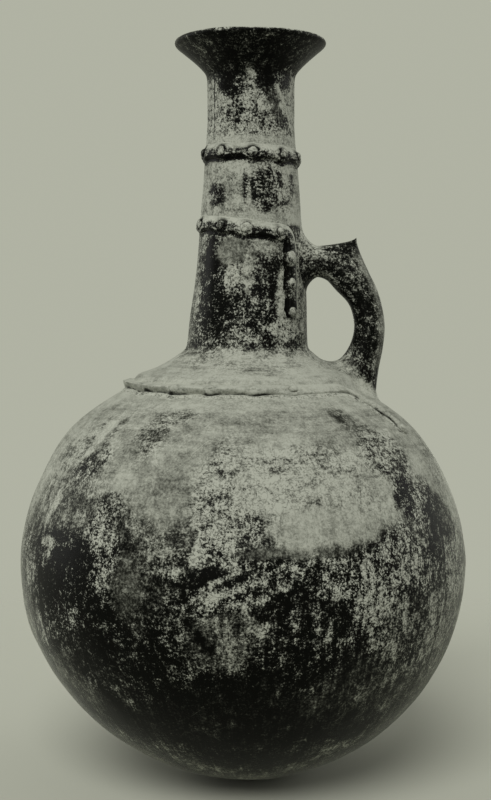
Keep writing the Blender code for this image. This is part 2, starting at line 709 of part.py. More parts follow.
def main():
    clear_scene()
    make_base_bowl()
    make_wall_stage("lower_wall", BASE_JOINT_HEIGHT, LOWER_JOINT_HEIGHT, DARK_SLIP)
    make_wall_stage("lower_belly_wall", LOWER_JOINT_HEIGHT, BELLY_HEIGHT, GREY_SLIP)
    make_wall_stage("upper_belly_wall", BELLY_HEIGHT, SHOULDER_JOINT_HEIGHT, GREY_SLIP)
    make_wall_stage("shoulder_wall", SHOULDER_JOINT_HEIGHT, CROWN_JOINT_HEIGHT, WORN_SLIP)
    make_crown_wall()
    make_neck_tube("lower_neck_tube", NECK_FOOT_HEIGHT, NECK_JOINT_HEIGHT, 0.0)
    make_neck_tube("upper_neck_tube", NECK_JOINT_HEIGHT + JOINT_GAP, RIM_JOINT_HEIGHT, SCARF_RISE)
    make_rim_funnel()
    make_neck_root_collar()
    make_cordons()
    make_pellets()
    make_handle()
    make_thumb_spur()


main()
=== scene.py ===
"""Looks of a round-bottomed, hand-built earthenware jug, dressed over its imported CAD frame.

Metres, +Z up, the handle towards +X and the front towards -Y, as in the frame. A turn is an angle
about the upright axis, measured from the front towards the handle. The wall, the cordons and the
pellets are laid out in wall coordinates: a turn, a distance up the outer profile, called the climb,
and a lift off the wall. The handle is a bar of its own, with its roots smeared over the wall.
"""

import math

import bpy
import numpy as np
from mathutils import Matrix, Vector, noise


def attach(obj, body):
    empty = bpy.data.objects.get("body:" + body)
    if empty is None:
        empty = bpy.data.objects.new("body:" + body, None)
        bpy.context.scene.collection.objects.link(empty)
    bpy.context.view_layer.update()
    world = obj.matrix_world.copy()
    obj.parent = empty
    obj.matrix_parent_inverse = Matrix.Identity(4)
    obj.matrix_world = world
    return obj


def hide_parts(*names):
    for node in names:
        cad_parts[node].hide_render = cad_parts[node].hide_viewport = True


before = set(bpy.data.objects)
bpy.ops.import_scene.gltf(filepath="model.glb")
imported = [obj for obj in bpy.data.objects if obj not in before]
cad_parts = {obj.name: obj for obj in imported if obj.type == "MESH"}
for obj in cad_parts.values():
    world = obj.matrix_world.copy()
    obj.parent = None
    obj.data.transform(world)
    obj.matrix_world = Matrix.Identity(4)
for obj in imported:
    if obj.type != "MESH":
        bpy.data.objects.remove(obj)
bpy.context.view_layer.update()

# Sizes shared with the CAD source
BODY_RADIUS = 0.1370
BELLY_HEIGHT = 0.1340
CROWN_RISE = 0.1245
BODY_WALL = 0.0070
TIP_SHIFT = 0.0030
POINT_POWER = 1.07
NECK_ROOT_HEIGHT = 0.2660
NECK_ROOT_RADIUS = 0.0376
NECK_TAPER_TOP_HEIGHT = 0.4020
NECK_TOP_RADIUS = 0.0264
NECK_WALL = 0.0055
NECK_SHIFT = 0.0048
SHIFT_START_HEIGHT = 0.2000
SHIFT_LENGTH = 0.1300
FLARE_FOOT_HEIGHT = 0.4320
FLARE_EDGE_HEIGHT = 0.4495
FLARE_EDGE_RADIUS = 0.0442
LIP_RADIUS = 0.0459
LIP_HEIGHT = 0.4540
COLLAR_RADIUS = 0.0662
COLLAR_EDGE_THICKNESS = 0.0070
SHOULDER_CORDON_RADIUS = 0.0690
HANDLE_REACH = 0.0780
HANDLE_TOP_HEIGHT = 0.3200
HANDLE_FOOT_HEIGHT = 0.2330
HANDLE_THICKNESS = 0.0186
HANDLE_WIDTH = 0.0195
HANDLE_PATH_SHARES = (
    (0.36, 0.985), (0.48, 0.995), (0.62, 1.0), (0.765, 0.965), (0.885, 0.865), (0.965, 0.72),
    (1.0, 0.55), (0.985, 0.40), (0.945, 0.26), (0.905, 0.12), (0.875, 0.0),
)

# Hanging ends of the cordons: shares of the way along and down
LOWER_DROP_SHARES = (
    (0.0, 0.0), (0.45, 0.01), (0.82, 0.06), (0.97, 0.14), (1.0, 0.26), (1.0, 0.38), (1.0, 0.50),
    (1.0, 0.62), (1.0, 0.74), (1.0, 0.86), (1.0, 0.94), (1.0, 1.0),
)
SHOULDER_DROP_SHARES = (
    (0.0, 0.0), (0.22, 0.0), (0.44, 0.015), (0.62, 0.06), (0.75, 0.15), (0.84, 0.28), (0.90, 0.44),
    (0.94, 0.62), (0.97, 0.80), (1.0, 1.0),
)

# Pellets on the runs: turn in degrees, and how dark the painted shade in the ring round each is.
# Pellets
# on the hanging ends: shares along and down, how far each is stretched up the wall, and its ring's
# painted shade
UPPER_PELLETS = (
    (-75, 0.9), (-38, 1.0), (2, 0.7), (41, 0.8), (72, 0.9), (106, 1.0), (144, 0.6), (182, 1.0),
    (218, 0.9), (252, 0.7),
)
LOWER_PELLETS = ((-70, 1.0), (-32, 1.0), (-5, 0.2), (31, 0.3))
SHOULDER_PELLETS = ((-83, 0.2), (-58, 0.2), (-34, 0.2), (-16, 0.2), (4, 0.1), (23, 0.1))
LOWER_DROP_PELLETS = ((0.68, 0.30, 1.5, 0.4), (0.70, 0.60, 1.5, 0.4), (0.66, 0.94, 1.0, 1.0))
SHOULDER_DROP_PELLETS = ((0.91, 0.48, 1.0, 0.3), (0.98, 0.92, 1.0, 0.1))
PELLET_RADIUS = 0.0034

SEED_STEP = 7.3  # distance between the noise of two seeds


# Number helpers

def blend(low, high, share):
    return low + (high - low) * share


def smooth_step(share):
    share = np.clip(share, 0.0, 1.0)
    return share * share * (3.0 - 2.0 * share)


def ramp(value, start, length):
    """0 up to a start, 1 from a length further on, and smooth between."""
    return smooth_step((value - start) / length)


def join(*parts):
    """Arrays, or numbers that go with them, side by side along a last axis."""
    return np.stack(np.broadcast_arrays(*parts), -1)


def rough(points, size, seed):
    """Smooth noise from -1 to 1 at points, with features about a size across."""
    flat = points.reshape(-1, 3) / size + seed * SEED_STEP
    values = np.fromiter((noise.noise(Vector(p)) for p in flat), float, len(flat))
    return values.reshape(points.shape[:-1])


def smooth_curve(keys, steps):
    """Points along a curve through key points, the same number in each span."""
    keys = np.asarray(keys, float)
    padded = np.vstack([keys[:1], keys, keys[-1:]])
    t = np.linspace(0.0, 1.0, steps, endpoint=False)[:, None]
    spans = []
    for index in range(len(keys) - 1):
        before, start, end, after = padded[index:index + 4]
        bend_in, bend_out = 0.5 * (end - before), 0.5 * (after - start)
        spans.append(
            start * (2 * t**3 - 3 * t**2 + 1) + bend_in * (t**3 - 2 * t**2 + t)
            + end * (3 * t**2 - 2 * t**3) + bend_out * (t**3 - t**2)
        )
    return np.vstack(spans + [keys[-1:]])


def distances(points):
    """How far along a polyline each of its points is."""
    return np.concatenate([[0.0], np.cumsum(np.linalg.norm(np.diff(points, axis=0), axis=1))])


def respace(curve, spacing):
    """A polyline with its points a given distance apart."""
    lengths = distances(curve)
    places = np.linspace(0.0, lengths[-1], int(round(lengths[-1] / spacing)) + 1)
    return join(*(np.interp(places, lengths, column) for column in curve.T))


# Profile of the wall

def body_radius(height, inset=0.0):
    below = height < BELLY_HEIGHT
    rise = np.where(below, BELLY_HEIGHT, CROWN_RISE) - inset
    level = np.clip(np.abs(height - BELLY_HEIGHT) / rise, 0.0, 1.0)
    return (BODY_RADIUS - inset) * np.sqrt(1.0 - level**2) ** np.where(below, POINT_POWER, 1.0)


def crown_height(radius, inset=0.0):
    level = radius / (BODY_RADIUS - inset)
    return BELLY_HEIGHT + (CROWN_RISE - inset) * math.sqrt(1.0 - level * level)


def axis_shift(height):
    """How far the jug's middle line leans towards the handle at a height."""
    below = np.maximum(0.0, 1.0 - height / BELLY_HEIGHT)
    return TIP_SHIFT * below**2 + NECK_SHIFT * ramp(height, SHIFT_START_HEIGHT, SHIFT_LENGTH)


def body_line(low, high, inset=0.0):
    """Points of the body curve between two parametric angles in degrees."""
    angles = np.radians(np.linspace(low, high, 400))
    rise = np.where(angles < 0.0, BELLY_HEIGHT, CROWN_RISE) - inset
    heights = BELLY_HEIGHT + rise * np.sin(angles)
    return join(body_radius(heights, inset), heights)


BASE_ANGLE = -89.9  # where the body line starts, in degrees
PROFILE_SPACING = 0.00025
CRISP, SOFT, SOFTEST = 0.0006, 0.0020, 0.0032  # reaches over which a profile's corners are rounded
ROUNDING_POINTS = 40
PADDING_POINTS = 160
FLARE_POWER = 1.25
COLLAR_POWER = 1.5
COLLAR_SEAM_RADIUS = 0.0695
LIP_POINTS = (
    (LIP_RADIUS, 0.4514), (LIP_RADIUS, 0.4529), (0.0449, LIP_HEIGHT), (0.0424, LIP_HEIGHT),
)
LIP_INNER_EDGE = (0.0420, 0.4538)
FUNNEL_RADIUS = 0.0408
FUNNEL_HEIGHTS = (0.4335, 0.4528)
BORE_FOOT = (0.0322, 0.2440)
BORE_HOLE_RADIUS = 0.0400


def round_off(line, softness):
    """Round a polyline's corners by a softness along it, from 0 for crisp to 1 for softest."""
    line = respace(line, PROFILE_SPACING)
    padding = ((PADDING_POINTS, PADDING_POINTS), (0, 0))
    padded = np.pad(line, padding, mode="reflect", reflect_type="odd")
    offsets = np.arange(-ROUNDING_POINTS, ROUNDING_POINTS + 1) * PROFILE_SPACING
    rounded = []
    for size in (CRISP, SOFT, SOFTEST):
        weights = np.exp(-0.5 * (offsets / size) ** 2)
        weights /= weights.sum()
        smooth = join(*(np.convolve(column, weights, "same") for column in padded.T))
        rounded.append(smooth[PADDING_POINTS:-PADDING_POINTS])
    crisp, soft, softest = rounded
    share = 2.0 * softness(line)[:, None]
    low = blend(crisp, soft, np.clip(share, 0.0, 1.0))
    return blend(low, softest, np.clip(share - 1.0, 0.0, 1.0))


def crown_angle(radius, inset=0.0):
    """The body line's angle in degrees where the crown has a radius."""
    rise = CROWN_RISE - inset
    return math.degrees(math.asin((crown_height(radius, inset) - BELLY_HEIGHT) / rise))


def outer_profile():
    body = body_line(BASE_ANGLE, crown_angle(COLLAR_SEAM_RADIUS))
    edge = crown_height(COLLAR_RADIUS) + COLLAR_EDGE_THICKNESS
    shares = np.linspace(0.0, 1.0, 60)
    collar = join(
        blend(COLLAR_RADIUS, NECK_ROOT_RADIUS, shares),
        blend(edge, NECK_ROOT_HEIGHT, shares**COLLAR_POWER),
    )
    shares = np.linspace(0.0, 1.0, 40)
    flare = join(
        blend(NECK_TOP_RADIUS, FLARE_EDGE_RADIUS, shares**FLARE_POWER),
        blend(FLARE_FOOT_HEIGHT, FLARE_EDGE_HEIGHT, shares),
    )
    line = np.vstack([body, collar, [(NECK_TOP_RADIUS, NECK_TAPER_TOP_HEIGHT)], flare, LIP_POINTS])
    line[0] = (0.0, 0.0)

    def softness(points):
        height = points[:, 1]
        low = np.where(height > 0.2580, 0.35, np.where(height > 0.2380, 0.7, 0.4))
        return np.where(height > 0.4480, 0.0, np.where(height > 0.4250, 0.7, low))

    profile = round_off(line, softness)
    profile[0] = (0.0, 0.0)
    return profile


def inner_profile():
    """The inside, from the lip's inner edge down to the middle of the floor."""
    bore = NECK_TOP_RADIUS - NECK_WALL
    shares = np.linspace(0.0, 1.0, 40)[::-1]
    flare = join(blend(bore, FUNNEL_RADIUS, shares**FLARE_POWER), blend(*FUNNEL_HEIGHTS, shares))
    neck = [
        (bore, NECK_TAPER_TOP_HEIGHT), (NECK_ROOT_RADIUS - NECK_WALL, NECK_ROOT_HEIGHT), BORE_FOOT,
    ]
    body = body_line(BASE_ANGLE, crown_angle(BORE_HOLE_RADIUS, BODY_WALL), BODY_WALL)[::-1]
    line = np.vstack([[LIP_INNER_EDGE], flare, neck, body])
    line[-1, 0] = 0.0
    return round_off(line, lambda points: np.where(points[:, 1] > 0.4500, 0.0, 0.8))


PROFILE = outer_profile()
CLIMB = distances(PROFILE)
SLOPES = np.gradient(PROFILE, CLIMB, axis=0)
SLOPES /= np.linalg.norm(SLOPES, axis=1)[:, None]
OUTWARD = join(SLOPES[:, 1], -SLOPES[:, 0])


def climb_at(height):
    """Distance up the outer profile at a height on it."""
    return np.interp(height, PROFILE[:, 1], CLIMB)


def radius_at(climb):
    return np.interp(climb, CLIMB, PROFILE[:, 0])


def height_at(climb):
    return np.interp(climb, CLIMB, PROFILE[:, 1])


# Unevenness of the hand-built wall: turn and height in degrees and mm, their reach, relief in mm
DENTS = (
    (0, 213, 1e9, 21, 2.1), (-90, 225, 45, 26, 1.2), (-88, 243, 30, 7, 0.9),
    (89, 136, 9, 9, 1.2), (-79, 97, 5, 16, 0.9), (-86, 112, 6, 5, 0.5), (40, 70, 30, 30, -0.7),
    (-35, 60, 25, 26, -0.6), (150, 120, 30, 30, -0.9), (205, 160, 26, 24, 0.8),
    (20, 205, 22, 14, -0.4), (-60, 190, 20, 18, -0.5), (-88, 448, 16, 8, 0.5),
    (60, 449, 30, 6, -0.5), (150, 449, 30, 6, 0.6), (12, 300, 20, 30, 0.4),
    (-60, 285, 25, 20, 0.5), (200, 300, 30, 40, -0.5),
)


def away_from(turn, middle):
    """Signed turn in degrees from a middle, the short way round."""
    return (np.degrees(turn) - middle + 180.0) % 360.0 - 180.0


def unevenness(turn, climb):
    """How far the hand-built wall stands off its plain curve."""
    radius, height = radius_at(climb), height_at(climb)
    places = join(radius * np.sin(turn), radius * np.cos(turn), height)
    lift = 0.0006 * rough(places, 0.060, 1.0) + 0.00035 * rough(places, 0.022, 2.0)
    tall = places * np.array((1.0, 1.0, 0.18))
    on_neck = ramp(height, 0.262, 0.02) * (1.0 - ramp(height, 0.425, 0.02))
    lift += 0.00035 * rough(tall, 0.0065, 3.0) * on_neck
    for middle, level, reach, rise, relief in DENTS:
        far = (away_from(turn, middle) / reach) ** 2 + ((height * 1000.0 - level) / rise) ** 2
        lift += 0.001 * relief * np.exp(-far)
    return lift * smooth_step(climb / 0.03)


def from_axis(turn, radius, height):
    """Points of the frame at radii from the jug's middle line."""
    return join(radius * np.sin(turn) + axis_shift(height), -radius * np.cos(turn), height)


def on_wall(turn, climb, lift):
    """Points of the frame over the outer wall."""
    lift = lift + unevenness(turn, climb)
    radius = radius_at(climb) + np.interp(climb, CLIMB, OUTWARD[:, 0]) * lift
    height = height_at(climb) + np.interp(climb, CLIMB, OUTWARD[:, 1]) * lift
    return from_axis(turn, radius, height)


# Tone of the surface. Each patch: turn and height in degrees and mm, their reach, tone from 0 for
# dark slip to 100 for pale crust, grain from 0 for smoky to 100 for speckled, and slant in degrees
# if there is one. Later patches lie over earlier ones. A reach of ROUND goes all the way round.
# Patches of the front come again on the back, shifted, and a turn beyond BACK_FROM adds one there
ROUND = 400
BACK_FROM = 95
PATCH_EDGE = 1.35
PATCH_SOFTNESS = 0.6
MM_PER_DEGREE = 2.3  # of turn, at the belly
PATCHES = (
    # body, from the foot up
    # the pale patches at turns -82 and 82 are painted sheen along the sides of the belly
    (0, 120, ROUND, 400, 30, 80), (-82, 118, 18, 70, 56, 50), (82, 118, 17, 70, 58, 50),
    # the band round the foot at 20 mm is speckled crust, lightened with painted light thrown up
    # from the floor
    (0, 70, 58, 34, 10, 45), (0, 20, ROUND, 22, 37, 60), (0, 35, 22, 7, 12, 50),
    (-56, 84, 15, 28, 36, 45), (54, 80, 18, 32, 40, 50), (25, 84, 14, 15, 28, 45),
    (38, 76, 9, 12, 36, 50), (-40, 82, 6, 6, 30, 100),
    # belly
    (-45, 132, 20, 34, 12, 100), (-54, 112, 9, 14, 20, 100), (-62, 100, 4, 14, 38, 90),
    (-68, 117, 1.6, 7, 4, 40), (-18, 108, 26, 20, 28, 90), (-32, 91, 15, 20, 14, 80),
    (-24, 118, 7, 14, 17, 90), (-33.4, 147, 4.4, 20, 42, 100), (-56, 157, 2.4, 3, 72, 90),
    (-55, 149, 1.2, 6, 55, 90), (-68, 140, 7, 26, 38, 80), (-24, 144, 6, 30, 37, 60),
    (-27.5, 141, 3.4, 18, 37, 35), (-5, 114, 9, 18, 45, 60), (-9.7, 112, 0.9, 11, 5, 40, 26),
    (14.5, 112, 11, 28, 20, 90), (33, 122, 8, 21, 44, 100), (46, 112, 12, 26, 46, 75),
    (64, 116, 9, 30, 46, 60), (8, 158, 13, 7, 42, 100), (28, 146, 10, 16, 50, 100),
    (42, 152, 9, 22, 46, 100), (55, 152, 5, 14, 28, 90), (66, 142, 8, 18, 50, 80),
    (18, 143, 6, 8, 42, 100),
    # strokes that rise to the right across the belly
    (-2, 142, 16, 9, 42, 100, 20), (-6.5, 157, 5.5, 5, 56, 95), (-15.5, 148, 1.8, 3.4, 56, 90, 20),
    (-9.5, 146.6, 5.4, 3.9, 13, 85, 20), (-1, 148, 4.5, 1.6, 14, 80, 28), (11, 136, 6, 6, 18, 90),
    (-6, 144.6, 6, 1.5, 66, 90, 33), (-6.8, 138, 6.6, 2.2, 70, 85, 13),
    (4.8, 147, 6.5, 1.8, 60, 100, 25), (0.5, 133.6, 6.5, 2.4, 60, 90, 20),
    (9, 142, 2.2, 2.6, 70, 90), (5, 122, 3.5, 4, 50, 80, 30), (12, 160, 16, 3.2, 46, 35),
    # shoulder; its broad pale tone, and the collar's, is partly crust and partly painted sheen of
    # the light from above
    (0, 214, ROUND, 42, 68, 22), (-56, 192, 15, 22, 55, 50), (-45, 177, 12, 10, 44, 50),
    (-47, 201, 7, 6, 48, 90, 25), (-76, 194, 10, 20, 76, 35), (-33, 183, 6, 6, 44, 70),
    (-58, 178, 1.7, 9, 74, 60), (-46, 214, 1.6, 15, 52, 50), (-50, 216, 1.5, 12, 82, 40),
    (-54, 208, 1.6, 14, 50, 60), (-35, 168, 5, 12, 56, 100), (-21, 172, 11, 10, 42, 55),
    (-21, 188, 10, 14, 63, 26), (-4, 186, 8, 26, 64, 80), (-5.5, 165, 4.4, 6.5, 72, 100),
    (15, 202, 20, 10, 70, 60), (19, 184, 18, 15, 74, 45), (20, 172, 16, 9, 76, 25),
    (8, 189, 10, 8, 80, 60), (1, 173, 3.4, 7, 52, 90), (-24, 228, 7, 4, 60, 50),
    (-29.5, 217, 4, 12, 50, 55), (41, 221, 13, 8, 49, 40, -40), (46, 205, 9, 12, 58, 80),
    (48, 184, 5, 10, 32, 100), (54, 178, 6, 15, 42, 100), (60, 170, 6, 13, 20, 85),
    (66, 168, 4, 10, 36, 60), (74, 192, 8, 16, 66, 40), (5, 238, ROUND, 6, 78, 20),
    # collar
    (0, 254, ROUND, 12, 78, 22), (6, 256, 26, 4.5, 70, 35),
    # neck below the lower cordon
    (0, 302, ROUND, 34, 45, 90), (-35, 296, 28, 24, 19, 100), (-44, 322, 8, 12, 10, 100),
    (-70, 300, 11, 30, 50, 80), (-15, 325, 22, 10, 54, 30), (18, 328, 22, 6, 62, 50),
    (-16, 309, 13, 8, 52, 100), (-2, 312, 8, 10, 66, 60), (16, 308, 11, 10, 26, 90),
    (12, 290, 14, 10, 38, 100), (33, 300, 5, 17, 80, 70), (34, 277, 18, 4.5, 62, 100),
    (0, 273, 16, 4, 50, 100), (62, 290, 14, 26, 55, 90),
    # neck between the cordons
    (0, 362, ROUND, 22, 70, 45), (-45, 359, 14, 6.5, 36, 100), (-7, 363, 3, 11, 40, 100),
    (18, 362, 22, 12.5, 37, 100), (40, 358, 10, 8, 60, 80), (56, 365, 6, 6, 34, 90),
    (0, 343, ROUND, 3.4, 82, 35),
    # neck above the upper cordon
    (0, 408, ROUND, 22, 66, 90), (-38, 416, 9, 6, 74, 80), (-21, 407, 13, 6.5, 42, 100),
    (-56, 413, 1.6, 20, 26, 70), (46, 412, 15, 14, 52, 90), (26, 419, 20, 8, 38, 50, -21),
    (46, 415, 24, 1.6, 95, 50, -19), (0, 389, ROUND, 4.5, 80, 40),
    # mouth
    (0, 446, ROUND, 14, 20, 70), (-30, 424, 17, 7, 13, 90), (20, 426, 14, 7, 22, 70),
    (50, 428, 14, 8, 36, 90), (0, 454.3, ROUND, 1, 46, 90), (-32, 453.8, 16, 1.4, 66, 80),
    (16, 454, 24, 1.5, 68, 70), (-1, 425, 5, 7, 56, 80),
    # back
    (131, 150, 16, 26, 54, 60), (126, 176, 7, 12, 46, 90), (114, 106, 13, 24, 27, 100, -24),
    (154, 188, 14, 9, 42, 100, 24), (-116, 152, 12, 26, 52, 60), (-137, 166, 8, 24, 27, 100, -20),
    (-128, 110, 10, 16, 40, 80),
)


def folded(turn, height):
    """Turn in degrees and height in mm on the front, to which each place on the back is likened."""
    degrees = away_from(turn, 0.0)
    behind = ramp(np.abs(degrees), 90.0, 45.0)
    front = np.where(np.abs(degrees) > 90.0, np.sign(degrees) * 180.0 - degrees, degrees)
    tilt = 20.0 * np.sin(turn) * (1.0 - ramp(height, 0.222, 0.020))
    return front + 17.0 * behind, height * 1000.0 + (tilt - 7.0) * behind


def paint(turn, height, places):
    """Tone, grain and brush direction of the wall, patch over patch, with ragged borders."""
    ragged = 0.40 * rough(places, 0.018, 5.0) + 0.30 * rough(places, 0.007, 6.0)
    degrees, level = folded(turn, height)
    behind = ramp(np.abs(np.degrees(turn)), 90.0, 40.0)
    wobble, sway = 2.4 * rough(places, 0.016, 7.5), 1.6 * rough(places, 0.016, 8.0)
    degrees = degrees + wobble + 22.0 * behind * rough(places, 0.110, 8.5)
    level = level + sway + 20.0 * behind * rough(places, 0.090, 9.5)
    tone, grain = np.zeros(turn.shape), np.zeros(turn.shape)
    for middle, middle_level, reach, rise, patch_tone, patch_grain, *slant in PATCHES:
        if abs(middle) > BACK_FROM:
            across, up = away_from(turn, middle) + wobble, height * 1000.0 + sway - middle_level
        else:
            across, up = (degrees - middle) * (reach < ROUND), level - middle_level
        if slant:
            lean = math.radians(slant[0])
            across, up = (
                across * math.cos(lean) + up / MM_PER_DEGREE * math.sin(lean),
                up * math.cos(lean) - across * MM_PER_DEGREE * math.sin(lean),
            )
        far = np.sqrt((across / reach) ** 2 + (up / rise) ** 2)
        share = smooth_step((PATCH_EDGE + 0.6 * ragged - far) / PATCH_SOFTNESS)
        tone, grain = blend(tone, patch_tone / 100, share), blend(grain, patch_grain / 100, share)
    tone = tone + 0.07 * rough(places, 0.035, 7.0)
    # streaks run up the belly, round the shoulder, and both ways on the neck and left of the front
    brush = ramp(height, 0.180, 0.02) * (1.0 - 0.5 * ramp(height, 0.258, 0.01))
    blotchy = 0.6 * np.exp(-(((degrees + 26.0) / 30.0) ** 2)) * ramp(height, 0.075, 0.03)
    brush = np.maximum(brush, blotchy * (height < 0.260))
    return join(tone, grain, brush)


def streak_places(turn, climb):
    """Noise coordinates that draw streaks up the wall, and others that draw them round it."""
    girth = blend(BODY_RADIUS, 0.032, ramp(height_at(climb), 0.236, 0.03))
    east, north = girth * np.sin(turn), girth * np.cos(turn)
    return join(east, north, climb * 0.14), join(east * 0.12, north * 0.12, climb)


# Mesh building

def add_object(name, data):
    item = bpy.data.objects.new(name, data)
    bpy.context.collection.objects.link(item)
    return item


def make_mesh(name, rings, fields, closed_path=False):
    """Join rings of points into a skin. An open path's end rings are closed on their middles."""
    rows, columns = rings.shape[:2]
    index = np.arange(rows * columns).reshape(rows, columns)
    ahead = np.roll(index, -1, axis=1)
    if closed_path:
        quads = join(index, ahead, np.roll(ahead, -1, 0), np.roll(index, -1, 0))
    else:
        quads = join(index[:-1], ahead[:-1], ahead[1:], index[1:])
    faces = quads.reshape(-1, 4).tolist()
    points = rings.reshape(-1, 3)
    values = {key: field.reshape(-1, 3) for key, field in fields.items()}
    for end in () if closed_path else (0, rows - 1):
        middle = len(points)
        points = np.vstack([points, points[index[end]].mean(0)])
        for key, field in values.items():
            values[key] = np.vstack([field, field[index[end]].mean(0)])
        for first, second in zip(index[end].tolist(), ahead[end].tolist()):
            faces.append((middle, second, first) if end == 0 else (middle, first, second))
    mesh = bpy.data.meshes.new(name)
    mesh.from_pydata(points.tolist(), [], faces)
    for key, field in values.items():
        layer = mesh.attributes.new(key, "FLOAT_VECTOR", "POINT")
        layer.data.foreach_set("vector", field.astype(np.float32).ravel())
    mesh.validate()
    mesh.update()
    mesh.shade_smooth()
    return add_object(name, mesh)


def dress(item, material, nodes):
    item.data.materials.append(material)
    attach(item, "root")
    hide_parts(*nodes)


# Materials

def fill(tree, node, sources):
    """Give a node's sockets constants or other nodes' outputs."""
    for name, source in sources.items():
        if isinstance(source, bpy.types.NodeSocket):
            tree.links.new(source, node.inputs[name])
        else:
            node.inputs[name].default_value = source
    return node


def add_node(tree, kind, sources=()):
    return fill(tree, tree.nodes.new(kind), dict(sources))


def math_node(tree, operation, *sources, clamp=False):
    node = add_node(tree, "ShaderNodeMath", enumerate(sources))
    node.operation = operation
    node.use_clamp = clamp
    return node.outputs[0]


def times(tree, first, second):
    return math_node(tree, "MULTIPLY", first, second)


def plus(tree, first, second, clamp=False):
    return math_node(tree, "ADD", first, second, clamp=clamp)


def minus(tree, first, second):
    return math_node(tree, "SUBTRACT", first, second)


def off_middle(tree, value):
    """How far a noise is from its middle, which is 0 along thin winding lines."""
    return math_node(tree, "ABSOLUTE", minus(tree, value, 0.5))


def weigh(tree, *terms):
    """Sum of outputs, each times its weight."""
    total = None
    for output, weight in terms:
        part = times(tree, output, weight)
        total = part if total is None else plus(tree, total, part)
    return total


def noise_node(tree, vector, scale, detail, roughness):
    return add_node(tree, "ShaderNodeTexNoise", {
        "Vector": vector, "Scale": scale, "Detail": detail, "Roughness": roughness,
    }).outputs["Fac"]


def attribute_node(tree, name):
    node = tree.nodes.new("ShaderNodeAttribute")
    node.attribute_name = name
    return node.outputs["Vector"]


def range_node(tree, value, low, high, to_low, to_high):
    node = add_node(tree, "ShaderNodeMapRange", {
        "Value": value, "From Min": low, "From Max": high, "To Min": to_low, "To Max": to_high,
    })
    node.interpolation_type = "SMOOTHSTEP"
    return node.outputs["Result"]


def ramp_node(tree, factor, stops):
    node = add_node(tree, "ShaderNodeValToRGB", {"Fac": factor})
    elements = node.color_ramp.elements
    while len(elements) < len(stops):
        elements.new(0.5)
    for element, (place, colour) in zip(elements, stops):
        element.position = place
        element.color = (*colour, 1.0)
    return node.outputs["Color"]


def mix_shaders(tree, factor, first, second, output):
    mix = add_node(tree, "ShaderNodeMixShader", {"Fac": factor, 1: first, 2: second})
    fill(tree, tree.nodes[output], {"Surface": mix.outputs["Shader"]})


# Colours from bare slip to thick crust
CRUST_COLOURS = (
    (0.0, (0.0014, 0.0015, 0.0010)), (0.25, (0.025, 0.026, 0.020)), (0.50, (0.106, 0.110, 0.088)),
    (0.75, (0.240, 0.248, 0.202)), (1.0, (0.388, 0.400, 0.330)),
)


def slip_material(name, size, relief):
    """Burnished near-black slip, worn and crusted to pale grey-green where the tone says so; the
    tone holds painted light and shade in places too.

    The size is that of the smallest specks in metres.
    """
    material = bpy.data.materials.new(name)
    material.use_nodes = True
    tree = material.node_tree
    place = tree.nodes.new("ShaderNodeTexCoord").outputs["Object"]
    look = add_node(tree, "ShaderNodeSeparateXYZ", {0: attribute_node(tree, "look")})
    tone, grain, brush = look.outputs
    scale = 1.0 / size
    fine = noise_node(tree, place, scale, 3.0, 0.75)
    middle = noise_node(tree, place, scale * 0.30, 4.0, 0.62)
    broad = noise_node(tree, place, scale * 0.075, 2.0, 0.50)
    upward = noise_node(tree, attribute_node(tree, "upward"), scale * 0.42, 3.0, 0.60)
    around = noise_node(tree, attribute_node(tree, "around"), scale * 0.42, 3.0, 0.60)
    stroke = plus(tree, upward, times(tree, minus(tree, around, upward), brush))
    # how much crust covers the slip: the tone, unsettled by specks where the grain is high
    mixed = weigh(tree, (fine, 0.48), (middle, 0.25), (broad, 0.08), (stroke, 0.19))
    swing = times(tree, minus(tree, mixed, 0.5), 4.9)
    amount = plus(tree, times(tree, grain, 0.92), 0.08)
    cloud = minus(tree, weigh(tree, (broad, 0.30), (stroke, 0.16)), 0.23)
    level = plus(tree, plus(tree, tone, times(tree, swing, amount)), cloud)
    spread = minus(tree, 0.56, times(tree, grain, 0.35))
    low, high = minus(tree, 0.5, spread), plus(tree, 0.5, spread)
    cover = range_node(tree, level, low, high, 0.0, 1.0)
    # dark veins in the pale crust, and pin specks and hair scratches on the dark slip
    veins = off_middle(tree, noise_node(tree, place, scale * 0.34, 4.0, 0.60))
    veins = times(tree, range_node(tree, veins, 0.004, 0.035, 0.52, 0.0), grain)
    cells = add_node(tree, "ShaderNodeTexVoronoi", {"Vector": place, "Scale": scale * 0.55})
    dots = range_node(tree, cells.outputs["Distance"], 0.10, 0.26, 1.0, 0.0)
    dots = times(tree, dots, range_node(tree, middle, 0.46, 0.60, 0.0, 0.58))
    hair = off_middle(tree, noise_node(tree, place, scale * 0.05, 1.0, 0.40))
    hair = range_node(tree, hair, 0.0, 0.005, 0.32, 0.0)
    hair = times(tree, hair, range_node(tree, broad, 0.50, 0.62, 0.0, 1.0))
    cover = minus(tree, cover, times(tree, veins, cover))
    cover = plus(tree, cover, times(tree, dots, grain), clamp=True)
    cover = plus(tree, cover, hair, clamp=True)
    bump = add_node(tree, "ShaderNodeBump", {
        "Strength": 0.6, "Distance": relief,
        "Height": weigh(tree, (cover, 0.6), (fine, 0.3), (stroke, 0.4)),
    })
    fill(tree, tree.nodes["Principled BSDF"], {
        "Base Color": ramp_node(tree, cover, CRUST_COLOURS),
        "Roughness": range_node(tree, cover, 0.0, 1.0, 0.44, 0.78),
        "Specular IOR Level": 0.05, "Sheen Weight": 0.26, "Sheen Roughness": 0.27,
        "Sheen Tint": (0.95, 0.98, 0.82, 1.0),
        "Normal": bump.outputs["Normal"],
    })
    return material


WALL = slip_material("burnished_wall_slip", 0.0013, 0.00030)
BAND = slip_material("cordon_slip", 0.0012, 0.00028)
BUTTON = slip_material("pellet_slip", 0.0010, 0.00024)
GRIP = slip_material("handle_slip", 0.0012, 0.00028)


# Wall skin

WALL_COLUMNS = 248
WALL_BASE_CLIMB = 0.0015
